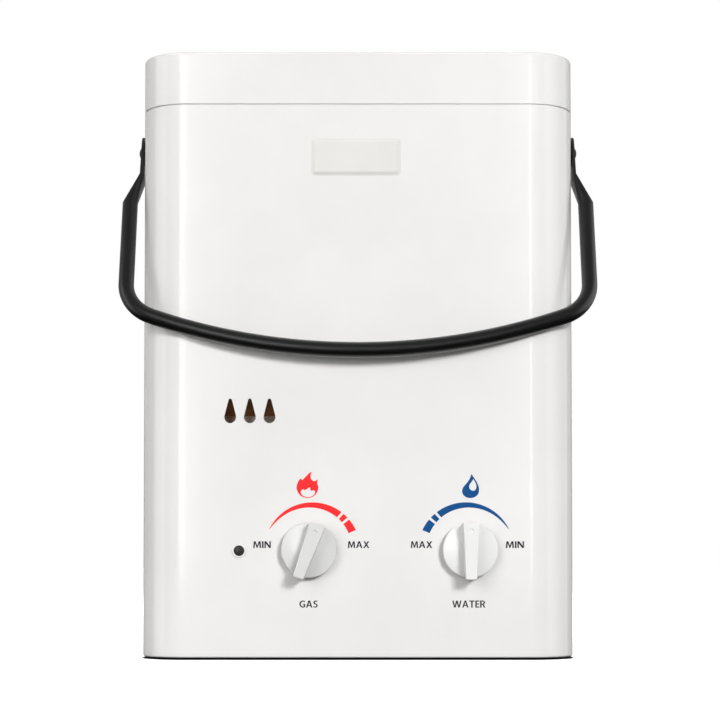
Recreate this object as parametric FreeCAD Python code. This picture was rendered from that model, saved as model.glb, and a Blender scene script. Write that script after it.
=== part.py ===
import FreeCAD, Part
import math
import os

# Portable propane water heater, in millimetres.  +Z is up, the front faces -Y and +X is to the
# right of someone who looks at the front.  The origin lies on the ground under the middle of the
# heater.  Most depths are given as a distance behind the casing's front face.

V = FreeCAD.Vector
TO_RIGHT = V(1, 0, 0)
TO_LEFT = V(-1, 0, 0)
TO_BACK = V(0, 1, 0)
TO_FRONT = V(0, -1, 0)
UP = V(0, 0, 1)
DOWN = V(0, 0, -1)

# ---------------------------------------------------------------- driving dimensions

# Casing
CASE_WIDTH = 305.0
CASE_DEPTH = 115.0
CASE_TOP_Z = 426.0
CASE_CORNER_R = 32.0        # outside radius of the two front upright corners
REAR_CORNER_R = 3.0
SHEET = 1.0                 # steel sheet of cover, cap, back plate and base plate
SHEET_CLEARANCE = 0.3       # between one sheet part and the next one inside it
SEAM_Z = 389.3              # lower edge of the top cap
SEAM_GAP = 0.8              # open joint between cap and cover
CAP_LIP = 10.0              # reach of the cap's lip down inside the cover
CAP_STEP = 3.0              # height over which the lip and the cap's wall are joined
CAP_LIP_BACK = 3.0          # the lip ends this far in front of the back plate
CAP_EDGE_R = 1.2            # rounding of the cap's upper edge
SKIRT_FLANGE = 13.0         # inward flange at the cover's lower edge
REAR_FLANGE = 16.0          # inward flange at each rear edge of the cover
BACK_PLATE_RISE = 12.0      # the back plate's overlap with the cap's rear wall
BASE_Z = 30.0               # underside of the base plate, which lies inside the skirt
BASE_FLANGE = 12.0

# Exhaust slots in the cap
SLOT_COUNT = 17
SLOT_PITCH = 10.0
SLOT_WIDTH = 5.0
SLOT_LENGTH = 64.0

# Feet
FOOT_HEIGHT = 1.5
FOOT_R = 5.5
FOOT_STEM_R = 2.5
FOOT_STEM_HEAD = 3.6
REAR_FOOT_INSET = 7.0       # from the casing's side and from its back

# Sheet metal screws
SCREW_SHANK_R = 1.7
SCREW_LENGTH = 7.0
SCREW_HEAD_R = 3.5
SCREW_HEAD = 2.0
SCREW_HEAD_ROUND = 0.9
SCREW_CLEARANCE = 0.2
SCREW_CROSS = 3.6
SCREW_CROSS_WIDTH = 0.9
SCREW_CROSS_DEPTH = 1.2
CAP_SCREW_X = 120.0         # outer two of the cap's three screws
BASE_SCREW_X = 90.0
COVER_SCREW_Z = (50.0, 205.0, 350.0)

# Badge plate, bare
BADGE_WIDTH = 62.9
BADGE_HEIGHT = 26.2
BADGE_THICK = 1.6
BADGE_BEVEL = 0.9
BADGE_CORNER_R = 1.6
BADGE_X = -1.3
BADGE_Z = 351.6

# Sight holes and their mica window
SIGHT_COUNT = 3
SIGHT_X = -75.4
SIGHT_PITCH = 13.7
SIGHT_Z = 168.9
SIGHT_R = 4.1
SIGHT_TIP_R = 1.2
SIGHT_RISE = 11.8           # from the round end's centre to the tip's centre
MICA_THICK = 0.5
MICA_BORDER = 7.0
MICA_FRAME_BORDER = 6.0
MICA_FRAME_THICK = 1.0

# Indicator lamp
LAMP_X = -82.7
LAMP_Z = 75.8
LAMP_RING_R = 5.1
LAMP_LENS_R = 3.7
LAMP_BARREL_R = 4.6
LAMP_RING_THICK = 1.2
LAMP_RING_ROUND = 0.7
LAMP_BARREL = 12.0
LAMP_HOLDER_R = 3.2
LAMP_HOLDER = 16.0
LAMP_CLEARANCE = 0.1

# Knobs
KNOB_Z = 76.3
GAS_X = -34.0
WATER_X = 78.0
KNOB_R = 19.25
KNOB_REACH = 22.0           # from the casing to the top of the grip bar
KNOB_GAP = 1.5              # between the casing and the knob's back
KNOB_RIM = 6.5              # height of the straight rim
KNOB_DOME = 3.0
KNOB_WALL = 2.0
KNOB_RIM_R = 1.2
KNOB_HUB_R = 7.0
BAR_HEAD_WIDTH = 11.3       # grip bar at its pointer end
BAR_TAIL_WIDTH = 7.5
BAR_TAIL_OVERHANG = 1.2
BAR_HEAD_SETBACK = 0.6
BAR_CORNER_R = 1.0
BAR_EDGE_R = 0.7
DIMPLE_R = 1.5
DIMPLE_DEPTH = 0.5
DIMPLE_FROM_EDGE = 6.3
GAS_KNOB_TURN = 20.0        # degrees clockwise from straight up
WATER_KNOB_TURN = 0.0
SPINDLE_R = 4.0
SPINDLE_FLAT = 2.6          # from the axis to the flat that the knob's hub fits
SPINDLE_FIT = 0.05
SPINDLE_IN_KNOB = 12.0
SPINDLE_IN_VALVE = 14.0
SPINDLE_HOLE_R = 9.0

# Handle
PIVOT_Z = 365.8
HANDLE_LENGTH = 167.4       # from the pivot axis to the middle of the bar
HANDLE_TUBE_R = 5.5
HANDLE_BAR_R = 392.0        # the bar is slightly bowed
HANDLE_BEND_R = 22.0
HANDLE_ARM_X = 164.0
HANDLE_REST_GAP = 0.5       # the bar leans on the cover's front
EAR_THICK = 3.0
EAR_WIDTH = 17.0
EAR_END = 13.0              # from the pivot to the ear's rounded end
EAR_FLAT = 19.0             # from the pivot to where the flat starts to open into the tube
EAR_TRANSITION = 26.0
EAR_EDGE_R = 0.6
EAR_DRAIN_R = 1.2
EAR_DRAIN_AT = 38.0
PIVOT_R = 3.0
PIVOT_FIT = 0.05
PIVOT_HEAD_R = 4.5
PIVOT_HEAD = 1.3
PIVOT_PLAY = 0.15           # end play of the ear between washer and head
WASHER_R = 9.0
WASHER_THICK = 2.6
PIVOT_NUT_WIDTH = 10.0
PIVOT_NUT = 5.0
PIVOT_THREAD = 9.0          # reach of the pivot screw inside the cover

# Heat exchanger
CHAMBER_WIDTH = 192.0
CHAMBER_FRONT = 21.0        # depth of the chamber's front wall
CHAMBER_REAR_ROOM = 16.0    # between the chamber's rear wall and the casing's back
CHAMBER_Z = 171.0
CHAMBER_TOP_Z = 336.0
CHAMBER_WALL = 1.0
CHAMBER_CORNER_R = 8.0
SIGHT_PORT_X = -69.5        # round hole in the chamber behind the sight holes
SIGHT_PORT_Z = 176.3
SIGHT_PORT_R = 5.2
FIN_PITCH = 4.2
FIN_THICK = 0.5
FIN_Z = 290.0
FIN_HEIGHT = 44.0
FIN_TUBE_R = 7.0
FIN_TUBE_COUNT = 4
FIN_TUBE_PITCH = 19.0
FIN_TUBE_FIT = 0.05
TUBE_WALL = 1.0
COIL_R = 5.0
COIL_GAP = 0.4
COIL_BEND_R = 12.0
COIL_LOW_Z = 205.0
COIL_HIGH_Z = 240.0
COIL_SIDE_ROOM = 21.5       # from the casing's side to the coil's upright run
COLD_PIPE_ROOM = 10.0       # from the coil's upright run to the cold pipe beyond it
HOT_PIPE_ROOM = 11.5
COLD_BEND_R = 8.0
BRACKET_THICK = 1.5
BRACKET_WIDTH = 18.0
BRACKET_LAP = 14.0
BRACKET_X = 60.0
BRACKET_LOW_Z = 182.0
BRACKET_HIGH_Z = 310.0
BRACKET_CORNER_R = 3.0
THERMOSTAT_R = 8.0
THERMOSTAT_THICK = 6.0
THERMOSTAT_Z = 268.0
THERMOSTAT_FLANGE = 26.0
TERMINAL_LENGTH = 7.0
TERMINAL_WIDTH = 6.0
TERMINAL_THICK = 0.8

# Flue hood
HOOD_THICK = 0.8
HOOD_NECK_Z = 400.0
HOOD_NECK_WIDTH = 196.0
HOOD_NECK_DEPTH = 70.0
HOOD_TOP_GAP = 2.0
HOOD_COLLAR = 10.0          # lap of the hood over the chamber

# Burner
BURNER_Z = 113.0
BURNER_FRAME_THICK = 1.2
BAR_PITCH = 16.6
BAR_END_GAP = 4.5           # at least this much between the end bars and the burner frame
BAR_THICK = 8.0
BAR_TOP_GAP = 4.0           # the flame ports lie this far under the chamber
BAR_NECK = 3.0
BAR_HEAD_HEIGHT = 10.0
VENTURI_R = 7.0
VENTURI_MOUTH = 5.0         # length of the flared mouth in front of the frame
PORT_PITCH = 5.0
PORT_WIDTH = 1.2
PORT_DEPTH = 3.0
JET_Z = 127.0
MANIFOLD_DEPTH = 5.0
MANIFOLD_THICK = 8.0
MANIFOLD_HEIGHT = 14.0
MANIFOLD_OVERHANG = 6.0
MANIFOLD_CORNER_R = 2.0
MANIFOLD_EAR = 10.0         # height of the ears at its ends
JET_R = 3.0
JET_TIP_R = 2.1
JET_LENGTH = 4.5
JET_BORE_R = 0.5
ELECTRODE_X = -20.0
SENSOR_X = 20.0
CERAMIC_R = 3.0
CERAMIC_COLLAR_R = 4.5
CERAMIC_COLLAR = 2.0
CERAMIC_FRONT = 9.0
CERAMIC_LENGTH = 26.0
PROBE_R = 0.8
PROBE_REACH = 16.0
PROBE_DROP = 4.0
ELECTRODE_Z = 177.5

# Gas side
VALVE_DEPTH = 42.0          # depth of the push rod's axis
GAS_BODY_WIDTH = 46.0
GAS_BODY_DEPTH = 38.0
GAS_BODY_HEIGHT = 48.0
GAS_BODY_CORNER_R = 4.0
GAS_BOSS_R = 10.0
GAS_BOSS = 8.0
SOLENOID_R = 12.0
SOLENOID = 24.0
SOLENOID_FLANGE = 3.0       # thickness of its flange, which is this much wider all round
SOLENOID_TERMINAL_X = 5.0   # from its axis
GAS_PIPE_R = 5.0
GAS_PIPE_BEND_R = 5.5
GAS_FLARE_R = 7.94          # 5/8 in flare thread on the inlet
GAS_FLARE = 15.0
GAS_FLARE_END_Z = 8.0
GAS_HEX = 19.0
GAS_STEM_R = 6.0

# Water side
WATER_BODY_WIDTH = 34.0
WATER_BODY_DEPTH = 32.0
WATER_BODY_HEIGHT = 46.0
WATER_BODY_CORNER_R = 3.0
DISC_R = 30.0
DISC_FLANGE = 6.0
DIAPHRAGM_THICK = 1.5
VALVE_COVER_THICK = 9.0
VALVE_COVER_HOLLOW_R = 24.0
VALVE_COVER_WALL = 2.0
VALVE_COVER_NECK_R = 7.0
VALVE_COVER_NECK = 8.0
VALVE_SCREW_COUNT = 6
VALVE_SCREW_R = 1.6
VALVE_SCREW_HEX = 5.5
VALVE_SCREW_HEAD = 2.4
VALVE_SCREW_SHORT = 1.0     # the screws end this far inside the body's flange
VALVE_SCREW_CIRCLE_R = 26.8
HOSE_THREAD_R = 13.4        # 3/4 in hose thread
HOSE_THREAD = 13.0
HOSE_END_Z = 6.0
HOSE_BORE_R = 8.5
HOSE_HEX = 30.0
HOSE_HEX_HEIGHT = 6.0
OUTLET_X = 34.0
OUTLET_DEPTH = 84.0
STEM_R = 8.0
PIPE_R = 6.0
PIPE_BEND_R = 12.0
PIPE_NUT_WIDTH = 20.0
PIPE_NUT = 9.0
RELIEF_R = 5.0
RELIEF_Z = 62.0
RELIEF_STEM = 5.0
RELIEF_HEX = 12.0
RELIEF_HEX_LENGTH = 8.0
OUTLET_STEM = 18.0          # the outlet's reach above the base plate

# Push rod between the two valves, its spring, and the microswitch beside it
ROD_R = 3.0
ROD_FIT = 0.05
ROD_IN_GAS_BODY = 16.0
ROD_TRAVEL = 4.0
ROD_END_PLAY = 1.0
ROD_PLATE_R = 20.0
ROD_PLATE = 1.5
ROD_COLLAR_X = 18.5
ROD_COLLAR_R = 7.0
ROD_COLLAR = 3.0
SPRING_R = 4.2
SPRING_WIRE_R = 0.5
SPRING_TURNS = 7
LEVER_RISE = 16.0           # lever's pivot above the rod
LEVER_LENGTH = 11.0
LEVER_THICK = 0.6
LEVER_WIDTH = 4.0
LEVER_GAP = 0.45
LEVER_EYE_R = 1.6
LEVER_PIN_R = 0.8
LEVER_FIT = 0.05
SWITCH_LENGTH = 20.0
SWITCH_HEIGHT = 14.0
SWITCH_THICK = 7.0
SWITCH_BEHIND = 3.0         # from the rod's axis to the switch's front
SWITCH_TERMINALS = (-6.0, 0.0, 6.0)
SWITCH_TERMINAL_WIDTH = 3.0
SWITCH_TERMINAL_THICK = 0.6
SWITCH_TERMINAL = 5.0

# Batteries and ignition
CELL_R = 17.1               # D cell
CELL_LENGTH = 61.5
CELL_CAP_R = 4.75
CELL_CAP = 1.5
CELL_CLEARANCE = 0.4
BATTERY_WALL = 1.6
BATTERY_FRONT = 30.0
BATTERY_X = -97.5
DOOR_THICK = 1.8
DOOR_LAP = 3.0              # the door laps the edges of its opening
DOOR_LIP = 2.4
DOOR_LIP_WIDTH = 16.0
DOOR_PIN_R = 1.2
DOOR_PIN_FIT = 0.08
HINGE_R = 2.6
HINGE_LUG = 5.0
HINGE_PLAY = 0.3
DOOR_CORNER_R = 3.0
CONTACT_THICK = 0.5
CONTACT_R = 7.0
MODULE_HEIGHT = 40.0
MODULE_WIDTH = 34.0
MODULE_DEPTH = 34.0
MODULE_CORNER_R = 2.0
MODULE_POST_R = 3.2
MODULE_POST = 5.0
MODULE_POST_SHARES = (0.5, 0.85)    # of the module's width
MODULE_SIDE_ROOM = 3.9      # from the burner's left end to the module
LEAD_R = 1.6
LEAD_BEND_R = 4.0
LEAD_DEPTH = 5.0            # depth of the leads where they pass the burner
LEAD_RISE = 10.0            # spark lead above its post
LEAD_SPACING = 6.0
TILT_X = -90.0
TILT_Z = 74.0
TILT_SIZE = 16.0
TILT_DEPTH = 14.0

# Keyholes in the back plate
KEYHOLE_SPACING = 200.0
KEYHOLE_Z = 352.0
KEYHOLE_R = 5.0
KEYHOLE_SLOT_R = 2.5
KEYHOLE_RISE = 9.0
VENT_COUNT = 13
VENT_PITCH = 14.0
VENT_WIDTH = 4.0
VENT_LENGTH = 26.0
VENT_Z = 100.0
BASE_VENT_COUNT = 9
BASE_VENT_PITCH = 9.0
BASE_VENT_X = -42.0
BASE_VENT_DEPTH = 84.0
BASE_VENT_LENGTH = 26.0

# Where two rounded corners face each other they stay a hair under half the width, which leaves
# a short straight between them.
NEARLY_HALF = 0.49
NEARLY_WHOLE = 0.98

# ---------------------------------------------------------------- worked out from them

HALF_WIDTH = CASE_WIDTH / 2
HALF_DEPTH = CASE_DEPTH / 2
# The bar's distance from the pivot where the cover's front turns into its corner, in the
# handle's own plane, sets how far the handle leans out when it lies on the cover.
BAR_AT_CORNER = HANDLE_LENGTH - HANDLE_BAR_R + math.sqrt(
    HANDLE_BAR_R ** 2 - (HALF_WIDTH - CASE_CORNER_R) ** 2)
HANDLE_LEAN = math.degrees(math.asin((HALF_DEPTH + HANDLE_TUBE_R + HANDLE_REST_GAP) / BAR_AT_CORNER))
HANDLE_REACH = HANDLE_LENGTH * math.sin(math.radians(HANDLE_LEAN)) - HALF_DEPTH + HANDLE_TUBE_R
FRONT_REACH = max(KNOB_REACH, HANDLE_REACH)
FRONT_Y = FRONT_REACH - (FRONT_REACH + CASE_DEPTH + SCREW_HEAD) / 2


def depth(distance):
    """Y of a point that lies this far behind the casing's front face."""
    return FRONT_Y + distance


MIDDLE_Y = depth(HALF_DEPTH)
COVER_TOP_Z = SEAM_Z - SEAM_GAP
SKIRT_TOP_Z = FOOT_HEIGHT + SHEET
BASE_TOP_Z = BASE_Z + SHEET
BACK_PLATE_DEPTH = CASE_DEPTH - 2 * SHEET     # depth of the back plate's front face
BACK_PLATE_TOP_Z = SEAM_Z + BACK_PLATE_RISE
CHAMBER_DEPTH = CASE_DEPTH - CHAMBER_FRONT - CHAMBER_REAR_ROOM
CHAMBER_BACK = CHAMBER_FRONT + CHAMBER_DEPTH
CHAMBER_MIDDLE_Y = depth(CHAMBER_FRONT + CHAMBER_DEPTH / 2)
FIN_TUBE_Z = FIN_Z + FIN_HEIGHT / 2
FIN_COUNT = int((CHAMBER_WIDTH - 2 * CHAMBER_CORNER_R) / FIN_PITCH)
PIPE_SIDE_X = HALF_WIDTH - COIL_SIDE_ROOM
COLD_PIPE_X = PIPE_SIDE_X + COLD_PIPE_ROOM
HOT_PIPE_X = PIPE_SIDE_X + HOT_PIPE_ROOM
BAR_ROOM = CHAMBER_WIDTH - 2 * (BURNER_FRAME_THICK + BAR_END_GAP + VENTURI_R)
BAR_COUNT = int(BAR_ROOM / BAR_PITCH) + 1
ROD_Z = KNOB_Z
ROD_Y = depth(VALVE_DEPTH)
GAS_BODY_RIGHT = GAS_X + GAS_BODY_WIDTH / 2
WATER_BODY_LEFT = WATER_X - WATER_BODY_WIDTH / 2
WATER_BODY_RIGHT = WATER_X + WATER_BODY_WIDTH / 2
DIAPHRAGM_X = WATER_BODY_LEFT - DISC_FLANGE - DIAPHRAGM_THICK
VALVE_COVER_X = DIAPHRAGM_X - VALVE_COVER_THICK
BATTERY_WIDTH = 4 * CELL_R + 3 * CELL_CLEARANCE + 2 * BATTERY_WALL
BATTERY_DEPTH = 2 * CELL_R + 2 * CELL_CLEARANCE + 2 * BATTERY_WALL
CELL_Z = BASE_Z + CONTACT_THICK
CELL_TOP_Z = CELL_Z + CELL_LENGTH
BATTERY_TOP_Z = CELL_TOP_Z + CONTACT_THICK + BATTERY_WALL
PIVOT_EAR_X = HALF_WIDTH + WASHER_THICK + PIVOT_PLAY
PIVOT_HEAD_X = PIVOT_EAR_X + EAR_THICK + PIVOT_PLAY
VENTURI_START = CHAMBER_FRONT - VENTURI_MOUTH
GAS_BODY_FRONT = VALVE_DEPTH - GAS_BODY_DEPTH / 2
WATER_BODY_FRONT = VALVE_DEPTH - WATER_BODY_DEPTH / 2
WATER_BODY_Z = KNOB_Z - WATER_BODY_HEIGHT / 2
WATER_BODY_TOP_Z = WATER_BODY_Z + WATER_BODY_HEIGHT
OUTLET_TOP_Z = BASE_TOP_Z + OUTLET_STEM
LEVER_X = ROD_COLLAR_X - LEVER_GAP - LEVER_THICK / 2
LEVER_Z = ROD_Z + LEVER_RISE
SWITCH_FRONT_Y = ROD_Y + SWITCH_BEHIND
DOOR_TOP_Z = BASE_Z - SHEET_CLEARANCE
REAR_Y = depth(CASE_DEPTH)


# ---------------------------------------------------------------- building blocks

def box(x0, x1, y0, y1, z0, z1):
    """Block between two corners."""
    return Part.makeBox(x1 - x0, y1 - y0, z1 - z0, V(x0, y0, z0))


def rod(start, direction, length, radius):
    """Round bar from start, along a direction."""
    return Part.makeCylinder(radius, length, start, direction)


def stepped(start, direction, steps):
    """Turned piece: a row of (length, radius) steps along a direction."""
    pieces = []
    at = V(start)
    for length, radius in steps:
        pieces.append(rod(at, direction, length, radius))
        at = at + direction * length
    return joined(pieces)


def joined(pieces):
    """One solid from pieces that touch or overlap."""
    result = pieces[0].fuse(pieces[1:]) if len(pieces) > 1 else pieces[0]
    return result.removeSplitter()


def group(pieces):
    """Several separate solids in one node."""
    return Part.makeCompound([solid for piece in pieces for solid in piece.Solids])


def outline(points, radii):
    """Closed wire through flat corner points, each rounded to its own radius."""
    corners = []
    count = len(points)
    for index, corner in enumerate(points):
        into = (corner - points[index - 1]).normalize()
        out = (points[(index + 1) % count] - corner).normalize()
        half_turn = into.getAngle(out) / 2
        radius = radii[index]
        setback = radius * math.tan(half_turn)
        towards_centre = (out - into).normalize()
        middle = corner + towards_centre * (radius / math.cos(half_turn) - radius)
        corners.append((corner - into * setback, middle, corner + out * setback, radius))
    edges = []
    for index, (start, middle, end, radius) in enumerate(corners):
        following = corners[(index + 1) % count][0]
        if radius > 0:
            edges.append(Part.Arc(start, middle, end).toShape())
        if (following - end).Length > 1e-6:
            edges.append(Part.LineSegment(end, following).toShape())
    return Part.Wire(edges)


def prism(points, radii, direction):
    """Flat rounded outline drawn out along a direction, which carries the length."""
    return Part.Face(outline(points, radii)).extrude(direction)


def pad_in_xz(x0, x1, z0, z1, radius, y0, y1):
    """Upright plate that faces the front, with rounded corners."""
    points = [V(x0, y0, z0), V(x1, y0, z0), V(x1, y0, z1), V(x0, y0, z1)]
    return prism(points, [radius] * 4, V(0, y1 - y0, 0))


def pad_in_xy(x0, x1, y0, y1, radius, z0, z1):
    """Level plate with rounded corners."""
    points = [V(x0, y0, z0), V(x1, y0, z0), V(x1, y1, z0), V(x0, y1, z0)]
    return prism(points, [radius] * 4, V(0, 0, z1 - z0))


def case_prism(inset, z0, z1):
    """The casing's plan, drawn in from the outside by inset, between two heights."""
    half = HALF_WIDTH - inset
    front = depth(inset)
    rear = depth(CASE_DEPTH - inset)
    front_r = max(CASE_CORNER_R - inset, 0)
    rear_r = max(REAR_CORNER_R - inset, 0)
    points = [V(-half, front, z0), V(half, front, z0), V(half, rear, z0), V(-half, rear, z0)]
    return prism(points, [front_r, front_r, rear_r, rear_r], V(0, 0, z1 - z0))


def hexagon(centre, direction, width, height):
    """Hexagonal bar of a width across its flats, standing on centre."""
    radius = width / math.sqrt(3)
    if abs(direction.x) < 0.5:
        side = TO_RIGHT
    else:
        side = TO_BACK
    other = direction.cross(side)
    points = []
    for index in range(6):
        angle = math.radians(60 * index)
        points.append(centre + side * (radius * math.cos(angle)) + other * (radius * math.sin(angle)))
    return prism(points, [0] * 6, direction * height)


def path(points, bend_r):
    """Straight runs joined by tangent arcs of one radius."""
    edges = []
    start = points[0]
    for before, corner, after in zip(points, points[1:], points[2:]):
        into = (corner - before).normalize()
        out = (after - corner).normalize()
        half_turn = into.getAngle(out) / 2
        setback = bend_r * math.tan(half_turn)
        towards_centre = (out - into).normalize()
        middle = corner + towards_centre * (bend_r / math.cos(half_turn) - bend_r)
        arc_start = corner - into * setback
        arc_end = corner + out * setback
        edges.append(Part.LineSegment(start, arc_start).toShape())
        edges.append(Part.Arc(arc_start, middle, arc_end).toShape())
        start = arc_end
    edges.append(Part.LineSegment(start, points[-1]).toShape())
    return Part.Wire(edges)


def bent_bar(points, bend_r, radius):
    """Round bar along a bent path."""
    along = (points[1] - points[0]).normalize()
    section = Part.Wire([Part.makeCircle(radius, points[0], along)])
    return path(points, bend_r).makePipeShell([section], True, False)


def bent_tube(points, bend_r, radius, wall):
    """Tube along a bent path, open at both ends."""
    return bent_bar(points, bend_r, radius).cut(bent_bar(points, bend_r, radius - wall))


def screw(head_seat, direction):
    """Pan-head sheet screw: its head stands on head_seat and its shank runs along direction."""
    head = rod(head_seat, direction * -1, SCREW_HEAD, SCREW_HEAD_R)
    top = head_seat - direction * SCREW_HEAD
    rim = [edge for edge in head.Edges
           if edge.BoundBox.Center.distanceToPoint(top) < 0.1 and len(edge.Vertexes) == 1]
    head = head.makeFillet(SCREW_HEAD_ROUND, rim)
    shank = rod(head_seat, direction, SCREW_LENGTH, SCREW_SHANK_R)
    if abs(direction.x) < 0.5:
        across = TO_RIGHT
    else:
        across = TO_BACK
    other = direction.cross(across)
    solid = joined([head, shank])
    for arm, side in ((across, other), (other, across)):
        corner = top - arm * (SCREW_CROSS / 2) - side * (SCREW_CROSS_WIDTH / 2)
        points = [corner, corner + arm * SCREW_CROSS,
                  corner + arm * SCREW_CROSS + side * SCREW_CROSS_WIDTH,
                  corner + side * SCREW_CROSS_WIDTH]
        solid = solid.cut(prism(points, [0] * 4, direction * SCREW_CROSS_DEPTH))
    return solid


def screw_holes(seats, direction):
    """Clearance holes for screws, through everything near their seats."""
    return [rod(seat - direction * SCREW_LENGTH, direction, 2 * SCREW_LENGTH,
                SCREW_SHANK_R + SCREW_CLEARANCE) for seat in seats]


def turned_about_y(shape, x, z, degrees):
    """Turned clockwise, seen from the front, about an axis that points at the viewer."""
    return shape.rotated(V(x, 0, z), TO_FRONT, -degrees)


def save(name, shape):
    """Write one node, after making sure that it holds sound solids."""
    if not shape.isValid() or not shape.Solids:
        raise RuntimeError(name + " is not a valid solid")
    shape.exportStep("parts/" + name + ".step")


# ---------------------------------------------------------------- where the screws sit

COVER_SCREW_X = HALF_WIDTH - REAR_FLANGE / 2
COVER_SCREWS = [V(side * COVER_SCREW_X, REAR_Y, z) for side in (-1, 1) for z in COVER_SCREW_Z]
CAP_SCREWS = [V(x, REAR_Y, SEAM_Z + BACK_PLATE_RISE / 2) for x in (-CAP_SCREW_X, 0, CAP_SCREW_X)]
BASE_SCREWS = [V(x, REAR_Y - SHEET, BASE_TOP_Z + BASE_FLANGE / 2)
               for x in (-BASE_SCREW_X, 0, BASE_SCREW_X)]
BRACKET_SCREWS = [V(side * BRACKET_X, REAR_Y - SHEET, z) for side in (-1, 1)
                  for z in (BRACKET_LOW_Z, BRACKET_HIGH_Z)]
# The front feet stand in the middle of the skirt flange, on the diagonal of its round corner.
FRONT_FOOT_INSET = CASE_CORNER_R - (CASE_CORNER_R - SKIRT_FLANGE / 2) / math.sqrt(2)
FEET = [V(side * (HALF_WIDTH - inset), y, 0) for side in (-1, 1)
        for inset, y in ((FRONT_FOOT_INSET, depth(FRONT_FOOT_INSET)),
                         (REAR_FOOT_INSET, depth(CASE_DEPTH - REAR_FOOT_INSET)))]


# ---------------------------------------------------------------- casing

def teardrop(x, y0, y1):
    """Teardrop-shaped prism: two circles and the tangents between them, point upwards."""
    slope = math.asin((SIGHT_R - SIGHT_TIP_R) / SIGHT_RISE)
    tip_z = SIGHT_Z + SIGHT_RISE
    across = math.cos(slope)
    rise = math.sin(slope)
    low_right = V(x + SIGHT_R * across, y0, SIGHT_Z + SIGHT_R * rise)
    low_left = V(x - SIGHT_R * across, y0, SIGHT_Z + SIGHT_R * rise)
    top_right = V(x + SIGHT_TIP_R * across, y0, tip_z + SIGHT_TIP_R * rise)
    top_left = V(x - SIGHT_TIP_R * across, y0, tip_z + SIGHT_TIP_R * rise)
    edges = [
        Part.Arc(low_right, V(x, y0, SIGHT_Z - SIGHT_R), low_left).toShape(),
        Part.LineSegment(low_left, top_left).toShape(),
        Part.Arc(top_left, V(x, y0, tip_z + SIGHT_TIP_R), top_right).toShape(),
        Part.LineSegment(top_right, low_right).toShape(),
    ]
    return Part.Face(Part.Wire(edges)).extrude(V(0, y1 - y0, 0))


def front_cover():
    """Cover bent from one sheet: front, two sides, skirt flange and two rear flanges."""
    shell = case_prism(0, FOOT_HEIGHT, COVER_TOP_Z)
    cuts = [
        case_prism(SHEET, SKIRT_TOP_Z, COVER_TOP_Z),
        case_prism(SKIRT_FLANGE, FOOT_HEIGHT, SKIRT_TOP_Z),
        box(REAR_FLANGE - HALF_WIDTH, HALF_WIDTH - REAR_FLANGE, REAR_Y - SKIRT_FLANGE, REAR_Y,
            FOOT_HEIGHT, COVER_TOP_Z),
        rod(V(LAMP_X, depth(0), LAMP_Z), TO_BACK, SHEET, LAMP_BARREL_R + LAMP_CLEARANCE),
    ]
    for x in (GAS_X, WATER_X):
        cuts.append(rod(V(x, depth(0), KNOB_Z), TO_BACK, SHEET, SPINDLE_HOLE_R))
    for index in range(SIGHT_COUNT):
        x = SIGHT_X + (index - (SIGHT_COUNT - 1) / 2) * SIGHT_PITCH
        cuts.append(teardrop(x, depth(0), depth(SHEET)))
    cuts.append(rod(V(-HALF_WIDTH, MIDDLE_Y, PIVOT_Z), TO_RIGHT, CASE_WIDTH, PIVOT_R + PIVOT_FIT))
    for foot in FEET:
        cuts.append(rod(foot, UP, BASE_Z, FOOT_STEM_R))
    cuts.extend(screw_holes(COVER_SCREWS, TO_FRONT))
    return shell.cut(cuts)


def back_plate():
    """Flat back with two keyholes to hang the heater on, and air slots for the burner."""
    half = HALF_WIDTH - REAR_CORNER_R - SHEET_CLEARANCE
    y0 = depth(BACK_PLATE_DEPTH)
    y1 = y0 + SHEET
    plate = box(-half, half, y0, y1, SKIRT_TOP_Z, BACK_PLATE_TOP_Z)
    cuts = []
    for side in (-1, 1):
        x = side * KEYHOLE_SPACING / 2
        cuts.append(rod(V(x, y0, KEYHOLE_Z), TO_BACK, SHEET, KEYHOLE_R))
        cuts.append(pad_in_xz(x - KEYHOLE_SLOT_R, x + KEYHOLE_SLOT_R, KEYHOLE_Z,
                              KEYHOLE_Z + KEYHOLE_RISE + KEYHOLE_SLOT_R,
                              KEYHOLE_SLOT_R * NEARLY_WHOLE, y0, y1))
    for index in range(VENT_COUNT):
        x = (index - (VENT_COUNT - 1) / 2) * VENT_PITCH
        cuts.append(pad_in_xz(x - VENT_WIDTH / 2, x + VENT_WIDTH / 2, VENT_Z - VENT_LENGTH / 2,
                              VENT_Z + VENT_LENGTH / 2, VENT_WIDTH * NEARLY_HALF, y0, y1))
    cuts.extend(screw_holes(COVER_SCREWS + CAP_SCREWS + BASE_SCREWS + BRACKET_SCREWS, TO_FRONT))
    return plate.cut(cuts)


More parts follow.
